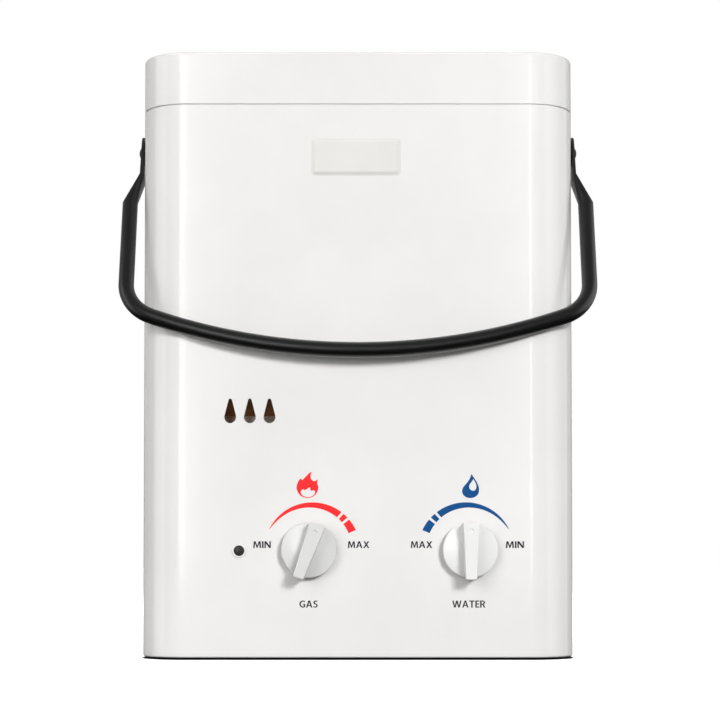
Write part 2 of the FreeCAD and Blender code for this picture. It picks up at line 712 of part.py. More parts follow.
def top_cap():
    """Pressed cap with exhaust slots, and a lip that reaches down inside the cover."""
    shell = case_prism(0, SEAM_Z, CASE_TOP_Z)
    top_edges = [edge for edge in shell.Edges if edge.BoundBox.ZMin > CASE_TOP_Z - 0.01]
    shell = shell.makeFillet(CAP_EDGE_R, top_edges)
    inner = SHEET + SHEET_CLEARANCE
    shell = shell.cut(case_prism(SHEET, SEAM_Z, CASE_TOP_Z - SHEET))
    lip_z = SEAM_Z - CAP_LIP
    step_z = SEAM_Z + CAP_STEP
    lip = case_prism(inner, lip_z, step_z).cut(case_prism(inner + SHEET, lip_z, step_z))
    step = case_prism(SHEET, SEAM_Z, step_z).cut(case_prism(inner, SEAM_Z, step_z))
    # The lip is cut back at the rear for the back plate and its brackets.
    rear_lip = box(-HALF_WIDTH, HALF_WIDTH, depth(BACK_PLATE_DEPTH - CAP_LIP_BACK), REAR_Y - SHEET,
                   lip_z, step_z)
    lip = joined([lip, step]).cut(rear_lip)
    slots = []
    for index in range(SLOT_COUNT):
        x = (index - (SLOT_COUNT - 1) / 2) * SLOT_PITCH
        slots.append(pad_in_xy(x - SLOT_WIDTH / 2, x + SLOT_WIDTH / 2,
                               MIDDLE_Y - SLOT_LENGTH / 2, MIDDLE_Y + SLOT_LENGTH / 2,
                               SLOT_WIDTH * NEARLY_HALF, CASE_TOP_Z - SHEET, CASE_TOP_Z))
    return joined([shell, lip]).cut(slots + screw_holes(CAP_SCREWS, TO_FRONT))


def base_plate():
    """Shallow tray above the ground, between cover and back plate, with the fittings' holes."""
    outer = SHEET + SHEET_CLEARANCE
    top = BASE_TOP_Z + BASE_FLANGE
    rear = depth(BACK_PLATE_DEPTH)
    behind = box(-HALF_WIDTH, HALF_WIDTH, rear, REAR_Y, BASE_Z, top)
    tray = case_prism(outer, BASE_Z, top).cut(behind)
    wide_behind = box(-HALF_WIDTH, HALF_WIDTH, rear - SHEET, REAR_Y, BASE_Z, top)
    tray = tray.cut(case_prism(outer + SHEET, BASE_TOP_Z, top).cut(wide_behind))
    cuts = [
        rod(V(GAS_X, ROD_Y, BASE_Z), UP, SHEET, GAS_STEM_R + SHEET_CLEARANCE),
        rod(V(WATER_X, ROD_Y, BASE_Z), UP, SHEET, STEM_R + SHEET_CLEARANCE),
        rod(V(OUTLET_X, depth(OUTLET_DEPTH), BASE_Z), UP, SHEET, STEM_R + SHEET_CLEARANCE),
        box(*battery_plan(BATTERY_WALL), BASE_Z, BASE_TOP_Z),
    ]
    for index in range(BASE_VENT_COUNT):
        x = BASE_VENT_X + (index - (BASE_VENT_COUNT - 1) / 2) * BASE_VENT_PITCH
        cuts.append(pad_in_xy(x - VENT_WIDTH / 2, x + VENT_WIDTH / 2,
                              depth(BASE_VENT_DEPTH - BASE_VENT_LENGTH / 2),
                              depth(BASE_VENT_DEPTH + BASE_VENT_LENGTH / 2),
                              VENT_WIDTH * NEARLY_HALF, BASE_Z, BASE_TOP_Z))
    cuts.extend(screw_holes(BASE_SCREWS, TO_FRONT))
    return joined([tray.cut(cuts)] + hinge_lugs())


def badge_plate():
    """Bare raised plaque with bevelled edges, stuck to the cover."""
    x0 = BADGE_X - BADGE_WIDTH / 2
    z0 = BADGE_Z - BADGE_HEIGHT / 2
    plate = pad_in_xz(x0, x0 + BADGE_WIDTH, z0, z0 + BADGE_HEIGHT, BADGE_CORNER_R,
                      depth(-BADGE_THICK), depth(0))
    front_edges = [edge for edge in plate.Edges if edge.BoundBox.YMax < depth(-BADGE_THICK) + 0.01]
    return plate.makeChamfer(BADGE_BEVEL, front_edges)


def sight_window():
    """Mica sheet behind the three sight holes."""
    half = SIGHT_PITCH * (SIGHT_COUNT - 1) / 2 + SIGHT_R + MICA_BORDER
    return box(SIGHT_X - half, SIGHT_X + half, depth(SHEET), depth(SHEET + MICA_THICK),
               SIGHT_Z - SIGHT_R - MICA_BORDER, SIGHT_Z + SIGHT_RISE + SIGHT_TIP_R + MICA_BORDER)


def sight_window_frame():
    """Steel frame that clamps the mica to the cover: it laps the mica and the sheet around it."""
    half = SIGHT_PITCH * (SIGHT_COUNT - 1) / 2 + SIGHT_R + MICA_BORDER
    low = SIGHT_Z - SIGHT_R - MICA_BORDER
    high = SIGHT_Z + SIGHT_RISE + SIGHT_TIP_R + MICA_BORDER
    lap = MICA_BORDER / 2
    frame = pad_in_xz(SIGHT_X - half - MICA_FRAME_BORDER, SIGHT_X + half + MICA_FRAME_BORDER,
                      low - MICA_FRAME_BORDER, high + MICA_FRAME_BORDER, MICA_FRAME_BORDER / 2,
                      depth(SHEET), depth(SHEET + MICA_THICK + MICA_FRAME_THICK))
    window = box(SIGHT_X - half + lap, SIGHT_X + half - lap, depth(SHEET),
                 depth(SHEET + MICA_THICK + MICA_FRAME_THICK), low + lap, high - lap)
    return frame.cut([window, sight_window()])


def rubber_feet():
    """Four push-in rubber feet."""
    steps = [(FOOT_HEIGHT, FOOT_R), (SHEET, FOOT_STEM_R), (FOOT_HEIGHT, FOOT_STEM_HEAD)]
    return group([stepped(foot, UP, steps) for foot in FEET])


# ---------------------------------------------------------------- lamp

def lamp_bezel():
    """White ring with a barrel through the cover."""
    front = V(LAMP_X, depth(-LAMP_RING_THICK), LAMP_Z)
    body = stepped(front, TO_BACK, [(LAMP_RING_THICK, LAMP_RING_R), (LAMP_BARREL, LAMP_BARREL_R)])
    rim = [edge for edge in body.Edges if edge.BoundBox.YMax < front.y + 0.01]
    body = body.makeFillet(LAMP_RING_ROUND, rim)
    bore = rod(front, TO_BACK, LAMP_RING_THICK + LAMP_BARREL, LAMP_LENS_R)
    return body.cut(bore)


def lamp_lens():
    """Low domed lens in the bezel."""
    seat = V(LAMP_X, depth(-LAMP_RING_THICK / 2), LAMP_Z)
    dome_rise = LAMP_RING_THICK / 2
    ball_r = (LAMP_LENS_R ** 2 + dome_rise ** 2) / (2 * dome_rise)
    ball = Part.makeSphere(ball_r, seat + TO_FRONT * (dome_rise - ball_r))
    lens_r = LAMP_LENS_R - LAMP_CLEARANCE
    bar = rod(seat + TO_FRONT * dome_rise, TO_BACK, LAMP_BARREL / 3, lens_r)
    return bar.common(ball.fuse(rod(seat, TO_BACK, LAMP_BARREL, LAMP_LENS_R)))


def lamp_holder():
    """Holder that plugs into the back of the bezel's barrel, with a collar on its end."""
    start = V(LAMP_X, depth(LAMP_BARREL / 3), LAMP_Z)
    inside = LAMP_BARREL * 2 / 3
    return stepped(start, TO_BACK, [(inside, LAMP_HOLDER_R), (LAMP_HOLDER - inside, LAMP_BARREL_R)])


# ---------------------------------------------------------------- knobs and spindles

def flatted_bar(x, y0, y1, growth):
    """Bar with one flat, along Y, grown all round by growth."""
    radius = SPINDLE_R + growth
    flat = box(x - radius, x + radius, y0, y1, KNOB_Z - radius, KNOB_Z - SPINDLE_FLAT - growth)
    return rod(V(x, y0, KNOB_Z), TO_BACK, y1 - y0, radius).cut(flat)


def knob(x, turn):
    """Round knob with a shallow dome and a tapered grip bar that points at its setting."""
    back_y = depth(-KNOB_GAP)
    top_y = depth(-KNOB_REACH)
    rim_y = back_y - KNOB_RIM
    centre = V(x, back_y, KNOB_Z)
    ball_r = (KNOB_R ** 2 + KNOB_DOME ** 2) / (2 * KNOB_DOME)
    ball = Part.makeSphere(ball_r, V(x, rim_y - KNOB_DOME + ball_r, KNOB_Z))
    disc = rod(centre, TO_FRONT, KNOB_RIM + KNOB_DOME, KNOB_R).common(ball)
    rim = [edge for edge in disc.Edges
           if len(edge.Vertexes) == 1 and edge.BoundBox.YMax < back_y - KNOB_RIM / 2]
    disc = disc.makeFillet(KNOB_RIM_R, rim)
    head = KNOB_Z + KNOB_R - BAR_HEAD_SETBACK
    tail = KNOB_Z - KNOB_R - BAR_TAIL_OVERHANG
    points = [V(x - BAR_TAIL_WIDTH / 2, back_y, tail), V(x + BAR_TAIL_WIDTH / 2, back_y, tail),
              V(x + BAR_HEAD_WIDTH / 2, back_y, head), V(x - BAR_HEAD_WIDTH / 2, back_y, head)]
    bar = prism(points, [BAR_CORNER_R] * 4, V(0, top_y - back_y, 0))
    top_edges = [edge for edge in bar.Edges if edge.BoundBox.YMax < top_y + 0.01]
    bar = bar.makeFillet(BAR_EDGE_R, top_edges)
    dimple = rod(V(x, top_y, head - DIMPLE_FROM_EDGE), TO_BACK, DIMPLE_DEPTH, DIMPLE_R)
    hollow = rod(centre, TO_FRONT, KNOB_RIM - KNOB_WALL, KNOB_R - KNOB_WALL)
    hub = rod(centre, TO_FRONT, KNOB_RIM, KNOB_HUB_R)
    bore = flatted_bar(x, back_y - SPINDLE_IN_KNOB, back_y, SPINDLE_FIT)
    solid = joined([disc, bar]).cut([hollow, dimple])
    return turned_about_y(joined([solid, hub]).cut(bore), x, KNOB_Z, turn)


def spindle(x, turn):
    """Valve spindle: flatted end in the knob, round shaft into the valve body."""
    knob_back = depth(-KNOB_GAP)
    end = depth(GAS_BODY_FRONT + SPINDLE_IN_VALVE)
    flatted = flatted_bar(x, knob_back - SPINDLE_IN_KNOB + SPINDLE_FIT, knob_back, 0)
    shaft = rod(V(x, knob_back, KNOB_Z), TO_BACK, end - knob_back, SPINDLE_R)
    return turned_about_y(joined([flatted, shaft]), x, KNOB_Z, turn)


# ---------------------------------------------------------------- handle

def handle():
    """Bail bent from one tube, flattened into an ear at each end."""
    # Drawn upright in the plane of the two pivots, hanging straight down, then leaned forward.
    bend_x = HANDLE_ARM_X - HANDLE_BEND_R
    bar_centre_z = PIVOT_Z - HANDLE_LENGTH + HANDLE_BAR_R
    bend_z = bar_centre_z - math.sqrt((HANDLE_BAR_R - HANDLE_BEND_R) ** 2 - bend_x ** 2)
    tube_start_z = PIVOT_Z - EAR_FLAT - EAR_TRANSITION
    to_bar = math.atan2(bend_x, bar_centre_z - bend_z)
    half_way = (math.pi / 2 + to_bar) / 2

    def on_bend(angle, side):
        return V(side * (bend_x + HANDLE_BEND_R * math.sin(angle)), MIDDLE_Y,
                 bend_z - HANDLE_BEND_R * math.cos(angle))

    spine = [Part.LineSegment(V(-HANDLE_ARM_X, MIDDLE_Y, tube_start_z), on_bend(math.pi / 2, -1)).toShape(),
             Part.Arc(on_bend(math.pi / 2, -1), on_bend(half_way, -1), on_bend(to_bar, -1)).toShape(),
             Part.Arc(on_bend(to_bar, -1), V(0, MIDDLE_Y, PIVOT_Z - HANDLE_LENGTH),
                      on_bend(to_bar, 1)).toShape(),
             Part.Arc(on_bend(to_bar, 1), on_bend(half_way, 1), on_bend(math.pi / 2, 1)).toShape(),
             Part.LineSegment(on_bend(math.pi / 2, 1), V(HANDLE_ARM_X, MIDDLE_Y, tube_start_z)).toShape()]
    start = V(-HANDLE_ARM_X, MIDDLE_Y, tube_start_z)
    section = Part.Wire([Part.makeCircle(HANDLE_TUBE_R, start, DOWN)])
    tube = Part.Wire(spine).makePipeShell([section], True, False)
    pieces = [tube]
    for side in (-1, 1):
        pieces.extend(handle_ear(side, tube_start_z))
    bail = pieces[0].fuse(pieces[1:])
    cuts = []
    for side in (-1, 1):
        cuts.append(rod(V(side * PIVOT_EAR_X, MIDDLE_Y, PIVOT_Z), V(side, 0, 0), EAR_THICK,
                        PIVOT_R + PIVOT_FIT))
        drain_x = side * (PIVOT_EAR_X + HANDLE_ARM_X) / 2
        cuts.append(rod(V(drain_x, MIDDLE_Y - HANDLE_TUBE_R, PIVOT_Z - EAR_DRAIN_AT), TO_BACK,
                        HANDLE_TUBE_R, EAR_DRAIN_R))
    bail = bail.cut(cuts)
    return bail.rotated(V(0, MIDDLE_Y, PIVOT_Z), TO_LEFT, HANDLE_LEAN)


def handle_ear(side, tube_start_z):
    """Flat ear round the pivot, and the stretch where it opens into the round tube."""
    x0 = min(side * PIVOT_EAR_X, side * (PIVOT_EAR_X + EAR_THICK))
    flat_z = PIVOT_Z - EAR_FLAT
    half = EAR_WIDTH / 2
    points = [V(x0, MIDDLE_Y - half, flat_z), V(x0, MIDDLE_Y + half, flat_z),
              V(x0, MIDDLE_Y + half, PIVOT_Z + EAR_END), V(x0, MIDDLE_Y - half, PIVOT_Z + EAR_END)]
    ear = prism(points, [0, 0, EAR_WIDTH * NEARLY_HALF, EAR_WIDTH * NEARLY_HALF], V(EAR_THICK, 0, 0))

    def ring(x_low, x_high, y_half, z, radius):
        corners = [V(x_low, MIDDLE_Y - y_half, z), V(x_high, MIDDLE_Y - y_half, z),
                   V(x_high, MIDDLE_Y + y_half, z), V(x_low, MIDDLE_Y + y_half, z)]
        return outline(corners, [radius] * 4)

    arm_x = side * HANDLE_ARM_X
    flat_ring = ring(x0, x0 + EAR_THICK, half, flat_z, EAR_EDGE_R)
    tube_ring = ring(arm_x - HANDLE_TUBE_R, arm_x + HANDLE_TUBE_R, HANDLE_TUBE_R, tube_start_z,
                     HANDLE_TUBE_R * NEARLY_WHOLE)
    return [ear, Part.makeLoft([flat_ring, tube_ring], True, True)]


def handle_washers():
    """Thick washers between cover and ears."""
    washers = []
    for direction in (TO_LEFT, TO_RIGHT):
        seat = V(0, MIDDLE_Y, PIVOT_Z) + direction * HALF_WIDTH
        washers.append(rod(seat, direction, WASHER_THICK, WASHER_R).cut(
            rod(seat, direction, WASHER_THICK, PIVOT_R + PIVOT_FIT)))
    return group(washers)


def pivot_screws():
    """Shouldered screws that the handle swings on."""
    screws = []
    for direction in (TO_LEFT, TO_RIGHT):
        seat = V(0, MIDDLE_Y, PIVOT_Z) + direction * PIVOT_HEAD_X
        head = rod(seat, direction, PIVOT_HEAD, PIVOT_HEAD_R)
        ball_r = (PIVOT_HEAD_R ** 2 + PIVOT_HEAD ** 2) / (2 * PIVOT_HEAD)
        head = head.common(Part.makeSphere(ball_r, seat + direction * (PIVOT_HEAD - ball_r)))
        shank_length = PIVOT_HEAD_X - HALF_WIDTH + SHEET + PIVOT_THREAD
        shank = rod(seat, direction * -1, shank_length, PIVOT_R)
        screws.append(joined([head, shank]))
    return group(screws)


def pivot_nuts():
    """Hexagon nuts on the pivot screws, inside the cover."""
    nuts = []
    for direction in (TO_LEFT, TO_RIGHT):
        seat = V(0, MIDDLE_Y, PIVOT_Z) + direction * (HALF_WIDTH - SHEET)
        nut = hexagon(seat, direction * -1, PIVOT_NUT_WIDTH, PIVOT_NUT)
        nuts.append(nut.cut(rod(seat, direction * -1, PIVOT_NUT, PIVOT_R)))
    return group(nuts)


# ---------------------------------------------------------------- heat exchanger

def chamber_prism(inset, z0, z1):
    """The chamber's plan, drawn in by inset, between two heights."""
    half = CHAMBER_WIDTH / 2 - inset
    return pad_in_xy(-half, half, depth(CHAMBER_FRONT + inset), depth(CHAMBER_BACK - inset),
                     CHAMBER_CORNER_R - inset, z0, z1)


def fin_tube_y(index):
    """Depth line of one of the tubes through the fins."""
    return CHAMBER_MIDDLE_Y + (index - (FIN_TUBE_COUNT - 1) / 2) * FIN_TUBE_PITCH


def fin_tube_ends():
    """Outer ends of the first and the last fin tube, on the right-hand side."""
    x = CHAMBER_WIDTH / 2 + PIPE_NUT
    return [V(x, fin_tube_y(0), FIN_TUBE_Z), V(x, fin_tube_y(FIN_TUBE_COUNT - 1), FIN_TUBE_Z)]


def chamber_shell():
    """Copper shell, open below and above, with holes for the tubes, electrodes and the sight port."""
    shell = chamber_prism(0, CHAMBER_Z, CHAMBER_TOP_Z).cut(
        chamber_prism(CHAMBER_WALL, CHAMBER_Z, CHAMBER_TOP_Z))
    cuts = []
    for index in range(FIN_TUBE_COUNT):
        cuts.append(rod(V(-CHAMBER_WIDTH / 2, fin_tube_y(index), FIN_TUBE_Z), TO_RIGHT,
                        CHAMBER_WIDTH, FIN_TUBE_R + FIN_TUBE_FIT))
    for x in (ELECTRODE_X, SENSOR_X):
        cuts.append(rod(V(x, depth(CHAMBER_FRONT), ELECTRODE_Z), TO_BACK, CHAMBER_WALL, CERAMIC_R))
    cuts.append(rod(V(SIGHT_PORT_X, depth(CHAMBER_FRONT), SIGHT_PORT_Z), TO_BACK, CHAMBER_WALL,
                    SIGHT_PORT_R))
    return shell.cut(cuts)


def fin_pack():
    """Thin fins across the chamber, each with a hole for every tube."""
    holes = [rod(V(-CHAMBER_WIDTH / 2, fin_tube_y(index), FIN_TUBE_Z), TO_RIGHT, CHAMBER_WIDTH,
                 FIN_TUBE_R + FIN_TUBE_FIT) for index in range(FIN_TUBE_COUNT)]
    half = (CHAMBER_DEPTH / 2 - CHAMBER_WALL - FIN_TUBE_FIT)
    fins = []
    for index in range(FIN_COUNT):
        x = (index - (FIN_COUNT - 1) / 2) * FIN_PITCH
        fin = box(x - FIN_THICK / 2, x + FIN_THICK / 2, CHAMBER_MIDDLE_Y - half,
                  CHAMBER_MIDDLE_Y + half, FIN_Z, FIN_Z + FIN_HEIGHT)
        fins.append(fin.cut(holes))
    return group(fins)


def exchanger_tubes():
    """One tube through the fins four times, with three return bends outside the chamber."""
    bend_x = CHAMBER_WIDTH / 2 + FIN_TUBE_PITCH / 2
    first, last = fin_tube_ends()
    points = [first]
    for index in range(FIN_TUBE_COUNT - 1):
        side_x = bend_x * (-1 if index % 2 == 0 else 1)
        points.append(V(side_x, fin_tube_y(index), FIN_TUBE_Z))
        points.append(V(side_x, fin_tube_y(index + 1), FIN_TUBE_Z))
    points.append(last)
    return bent_tube(points, FIN_TUBE_PITCH * NEARLY_HALF, FIN_TUBE_R, TUBE_WALL)


def chamber_coil():
    """Water tube wound twice round the chamber, then up to the first fin tube."""
    x = CHAMBER_WIDTH / 2 + COIL_R + COIL_GAP
    front = depth(CHAMBER_FRONT - COIL_R - COIL_GAP)
    rear = depth(CHAMBER_BACK + COIL_R + COIL_GAP)
    first = fin_tube_ends()[0]
    points = [V(PIPE_SIDE_X, front, COIL_LOW_Z),
              V(-x, front, COIL_LOW_Z), V(-x, rear, COIL_LOW_Z),
              V(x, rear, COIL_LOW_Z), V(x, front, COIL_HIGH_Z),
              V(-x, front, COIL_HIGH_Z), V(-x, rear, COIL_HIGH_Z),
              V(PIPE_SIDE_X, rear, COIL_HIGH_Z),
              V(PIPE_SIDE_X, first.y, COIL_HIGH_Z + 2 * COIL_BEND_R),
              V(PIPE_SIDE_X, first.y, FIN_TUBE_Z), first]
    return bent_tube(points, COIL_BEND_R, COIL_R, TUBE_WALL)


def exchanger_brackets():
    """Four Z-shaped straps from the back plate to the chamber's rear wall."""
    straps = []
    gap_front = depth(CHAMBER_BACK)
    gap_rear = depth(BACK_PLATE_DEPTH)
    for seat in BRACKET_SCREWS:
        x0 = seat.x - BRACKET_WIDTH / 2
        x1 = seat.x + BRACKET_WIDTH / 2
        z = seat.z
        strap = joined([
            box(x0, x1, gap_rear - BRACKET_THICK, gap_rear, z - BRACKET_LAP / 2, z + BRACKET_LAP / 2),
            box(x0, x1, gap_front, gap_rear, z + BRACKET_LAP / 2 - BRACKET_THICK, z + BRACKET_LAP / 2),
            box(x0, x1, gap_front, gap_front + BRACKET_THICK, z + BRACKET_LAP / 2 - BRACKET_THICK,
                z + BRACKET_LAP)])
        straps.append(strap.cut(screw_holes([seat], TO_FRONT)))
    return group(straps)


def overheat_thermostat():
    """Disc thermostat with two spade terminals, flanged to the chamber's left wall."""
    seat = V(-CHAMBER_WIDTH / 2, CHAMBER_MIDDLE_Y, THERMOSTAT_Z)
    flange = box(seat.x - HOOD_THICK, seat.x, seat.y - THERMOSTAT_FLANGE / 2,
                 seat.y + THERMOSTAT_FLANGE / 2, seat.z - THERMOSTAT_R, seat.z + THERMOSTAT_R)
    disc = rod(seat, TO_LEFT, THERMOSTAT_THICK, THERMOSTAT_R)
    pieces = [flange, disc]
    for side in (-1, 1):
        y = seat.y + side * THERMOSTAT_R / 2
        pieces.append(box(seat.x - THERMOSTAT_THICK - TERMINAL_LENGTH, seat.x - THERMOSTAT_THICK,
                          y - TERMINAL_THICK / 2, y + TERMINAL_THICK / 2,
                          seat.z - TERMINAL_WIDTH / 2, seat.z + TERMINAL_WIDTH / 2))
    return joined(pieces)


def flue_hood():
    """Sheet hood from the chamber's top to just under the exhaust slots."""
    def ring(width, front, rear, z):
        return Part.makePolygon([V(-width / 2, front, z), V(width / 2, front, z), V(width / 2, rear, z),
                                 V(-width / 2, rear, z), V(-width / 2, front, z)])

    low_width = CHAMBER_WIDTH + 2 * HOOD_THICK
    front = depth(CHAMBER_FRONT - HOOD_THICK)
    rear = depth(CHAMBER_BACK + HOOD_THICK)
    neck_front = MIDDLE_Y - HOOD_NECK_DEPTH / 2
    neck_rear = MIDDLE_Y + HOOD_NECK_DEPTH / 2
    top_z = CASE_TOP_Z - SHEET - HOOD_TOP_GAP

    def body(inset):
        levels = [(low_width, front, rear, CHAMBER_TOP_Z - HOOD_COLLAR),
                  (low_width, front, rear, CHAMBER_TOP_Z),
                  (HOOD_NECK_WIDTH, neck_front, neck_rear, HOOD_NECK_Z),
                  (HOOD_NECK_WIDTH, neck_front, neck_rear, top_z)]
        rings = [ring(width - 2 * inset, y0 + inset, y1 - inset, z) for width, y0, y1, z in levels]
        return Part.makeLoft(rings, True, True)

    return body(0).cut(body(HOOD_THICK))


# ---------------------------------------------------------------- burner

def burner_bar_x(index):
    """Middle of one burner bar."""
    return (index - (BAR_COUNT - 1) / 2) * BAR_PITCH


def burner_bars():
    """Bars pressed from stainless sheet: a mixing tube below, a neck, and a head with flame ports."""
    front = depth(CHAMBER_FRONT + BURNER_FRAME_THICK)
    rear = depth(CHAMBER_BACK - BURNER_FRAME_THICK)
    mouth = depth(VENTURI_START)
    top = CHAMBER_Z - BAR_TOP_GAP
    bars = []
    for index in range(BAR_COUNT):
        x = burner_bar_x(index)
        head = box(x - BAR_THICK / 2, x + BAR_THICK / 2, front, rear, top - BAR_HEAD_HEIGHT, top)
        neck = box(x - BAR_NECK / 2, x + BAR_NECK / 2, front, rear, JET_Z, top)
        tube_length = rear - BAR_THICK - mouth
        tube = rod(V(x, mouth, JET_Z), TO_BACK, tube_length, VENTURI_R)
        bore = rod(V(x, mouth, JET_Z), TO_BACK, tube_length - TUBE_WALL, VENTURI_R - TUBE_WALL)
        bar = joined([head, neck, tube]).cut(bore)
        ports = []
        count = int((rear - front - PORT_PITCH) / PORT_PITCH)
        for port in range(count):
            y = front + PORT_PITCH * (port + 1)
            ports.append(box(x - BAR_THICK / 2 + TUBE_WALL, x + BAR_THICK / 2 - TUBE_WALL,
                             y - PORT_WIDTH / 2, y + PORT_WIDTH / 2, top - PORT_DEPTH, top))
        bars.append(bar.cut(ports))
    return group(bars)


def burner_frame():
    """Steel box round the bars, which carries the chamber and stands off the back plate."""
    half = CHAMBER_WIDTH / 2
    front = depth(CHAMBER_FRONT)
    rear = depth(CHAMBER_BACK)
    wall = BURNER_FRAME_THICK
    frame = box(-half, half, front, rear, BURNER_Z, CHAMBER_Z).cut(
        box(-half + wall, half - wall, front + wall, rear - wall, BURNER_Z, CHAMBER_Z))
    holes = [rod(V(burner_bar_x(index), front, JET_Z), TO_BACK, wall, VENTURI_R)
             for index in range(BAR_COUNT)]
    frame = frame.cut(holes)
    feet = []
    for side in (-1, 1):
        x = side * (half - BRACKET_WIDTH / 2)
        feet.append(box(x - BRACKET_WIDTH / 2, x + BRACKET_WIDTH / 2, rear - wall,
                        depth(BACK_PLATE_DEPTH), BURNER_Z, BURNER_Z + BRACKET_THICK))
        feet.append(box(x - BRACKET_WIDTH / 2, x + BRACKET_WIDTH / 2,
                        depth(BACK_PLATE_DEPTH) - BRACKET_THICK, depth(BACK_PLATE_DEPTH),
                        BURNER_Z, BURNER_Z + BRACKET_LAP))
    return joined([frame] + feet)


def gas_manifold():
    """Bar-shaped manifold in front of the burner, with an ear at each end to the burner frame."""
    half = burner_bar_x(BAR_COUNT - 1) + MANIFOLD_OVERHANG
    y0 = depth(MANIFOLD_DEPTH)
    y1 = y0 + MANIFOLD_THICK
    bar = pad_in_xz(-half, half, JET_Z - MANIFOLD_HEIGHT / 2, JET_Z + MANIFOLD_HEIGHT / 2,
                    MANIFOLD_CORNER_R, y0, y1)
    pieces = [bar]
    frame_half = CHAMBER_WIDTH / 2
    for side in (-1, 1):
        x0 = side * (half - MANIFOLD_CORNER_R)
        x1 = side * frame_half
        pieces.append(box(min(x0, x1), max(x0, x1), y1 - BRACKET_THICK, y1,
                          JET_Z - MANIFOLD_EAR / 2, JET_Z + MANIFOLD_EAR / 2))
        pieces.append(box(min(x1, x1 - side * BRACKET_THICK), max(x1, x1 - side * BRACKET_THICK),
                          y1 - BRACKET_THICK, depth(CHAMBER_FRONT),
                          JET_Z - MANIFOLD_EAR / 2, JET_Z + MANIFOLD_EAR / 2))
    gas_way = rod(V(GAS_X, y0 + MANIFOLD_THICK / 2, JET_Z - MANIFOLD_HEIGHT / 2), UP,
                  MANIFOLD_HEIGHT / 2, GAS_PIPE_R - TUBE_WALL)
    return joined(pieces).cut(gas_way)


def gas_nozzles():
    """One brass jet for each burner bar, screwed into the manifold."""
    jets = []
    for index in range(BAR_COUNT):
        seat = V(burner_bar_x(index), depth(MANIFOLD_DEPTH + MANIFOLD_THICK), JET_Z)
        body = stepped(seat, TO_BACK, [(JET_LENGTH / 2, JET_R), (JET_LENGTH / 2, JET_TIP_R)])
        jets.append(body.cut(rod(seat, TO_BACK, JET_LENGTH, JET_BORE_R)))
    return group(jets)


def ceramic(x):
    """Ceramic holder whose collar stands on the electrode bracket."""
    start = V(x, depth(CERAMIC_FRONT), ELECTRODE_Z)
    collar_end = CHAMBER_FRONT - BRACKET_THICK - CERAMIC_FRONT
    collar = rod(start + TO_BACK * (collar_end - CERAMIC_COLLAR), TO_BACK, CERAMIC_COLLAR,
                 CERAMIC_COLLAR_R)
    return joined([rod(start, TO_BACK, CERAMIC_LENGTH, CERAMIC_R), collar])


def spark_electrode():
    """Ceramic holder with a wire bent down towards the flame ports."""
    tip = V(ELECTRODE_X, depth(CERAMIC_FRONT + CERAMIC_LENGTH), ELECTRODE_Z)
    bend = tip + TO_BACK * PROBE_REACH
    wire = bent_bar([tip, bend, bend + DOWN * PROBE_DROP], 2 * PROBE_R, PROBE_R)
    return joined([ceramic(ELECTRODE_X), wire])


def flame_sensor():
    """Ceramic holder with a straight sensing wire in the flames."""
    tip = V(SENSOR_X, depth(CERAMIC_FRONT + CERAMIC_LENGTH), ELECTRODE_Z)
    return joined([ceramic(SENSOR_X), rod(tip, TO_BACK, PROBE_REACH, PROBE_R)])


def electrodes():
    """Spark electrode and flame sensor."""
    return group([spark_electrode(), flame_sensor()])


def electrode_bracket():
    """Strap on the chamber's front wall that holds the two ceramic holders by their collars."""
    y1 = depth(CHAMBER_FRONT)
    y0 = y1 - BRACKET_THICK
    half = SENSOR_X + 2 * CERAMIC_COLLAR_R
    strap = pad_in_xz(-half, half, ELECTRODE_Z - CERAMIC_COLLAR_R, ELECTRODE_Z + 2 * CERAMIC_COLLAR_R,
                      BRACKET_CORNER_R, y0, y1)
    return strap.cut([rod(V(x, y0, ELECTRODE_Z), TO_BACK, BRACKET_THICK, CERAMIC_R)
                      for x in (ELECTRODE_X, SENSOR_X)])


# ---------------------------------------------------------------- gas side

def gas_valve_body():
    """Cast body with a boss for the spindle, a cross bore for the push rod and three gas ports."""
    y0 = depth(GAS_BODY_FRONT)
    y1 = y0 + GAS_BODY_DEPTH
    x0 = GAS_X - GAS_BODY_WIDTH / 2
    z0 = KNOB_Z - GAS_BODY_HEIGHT / 2
    z1 = z0 + GAS_BODY_HEIGHT
    block = pad_in_xz(x0, GAS_BODY_RIGHT, z0, z1, GAS_BODY_CORNER_R, y0, y1)
    boss = rod(V(GAS_X, y0, KNOB_Z), TO_FRONT, GAS_BOSS, GAS_BOSS_R)
    body = joined([block, boss])
    return body.cut([
        rod(V(GAS_X, y0 - GAS_BOSS, KNOB_Z), TO_BACK, GAS_BOSS + SPINDLE_IN_VALVE + ROD_END_PLAY,
            SPINDLE_R + SPINDLE_FIT),
        rod(V(GAS_BODY_RIGHT, ROD_Y, ROD_Z), TO_LEFT, ROD_IN_GAS_BODY + ROD_TRAVEL + ROD_END_PLAY,
            ROD_R + ROD_FIT),
        rod(V(GAS_X, ROD_Y, z0), UP, GAS_STEM_R, GAS_STEM_R - 2 * TUBE_WALL),
        rod(V(GAS_X, ROD_Y, z1), DOWN, GAS_PIPE_R, GAS_PIPE_R - TUBE_WALL),
    ])


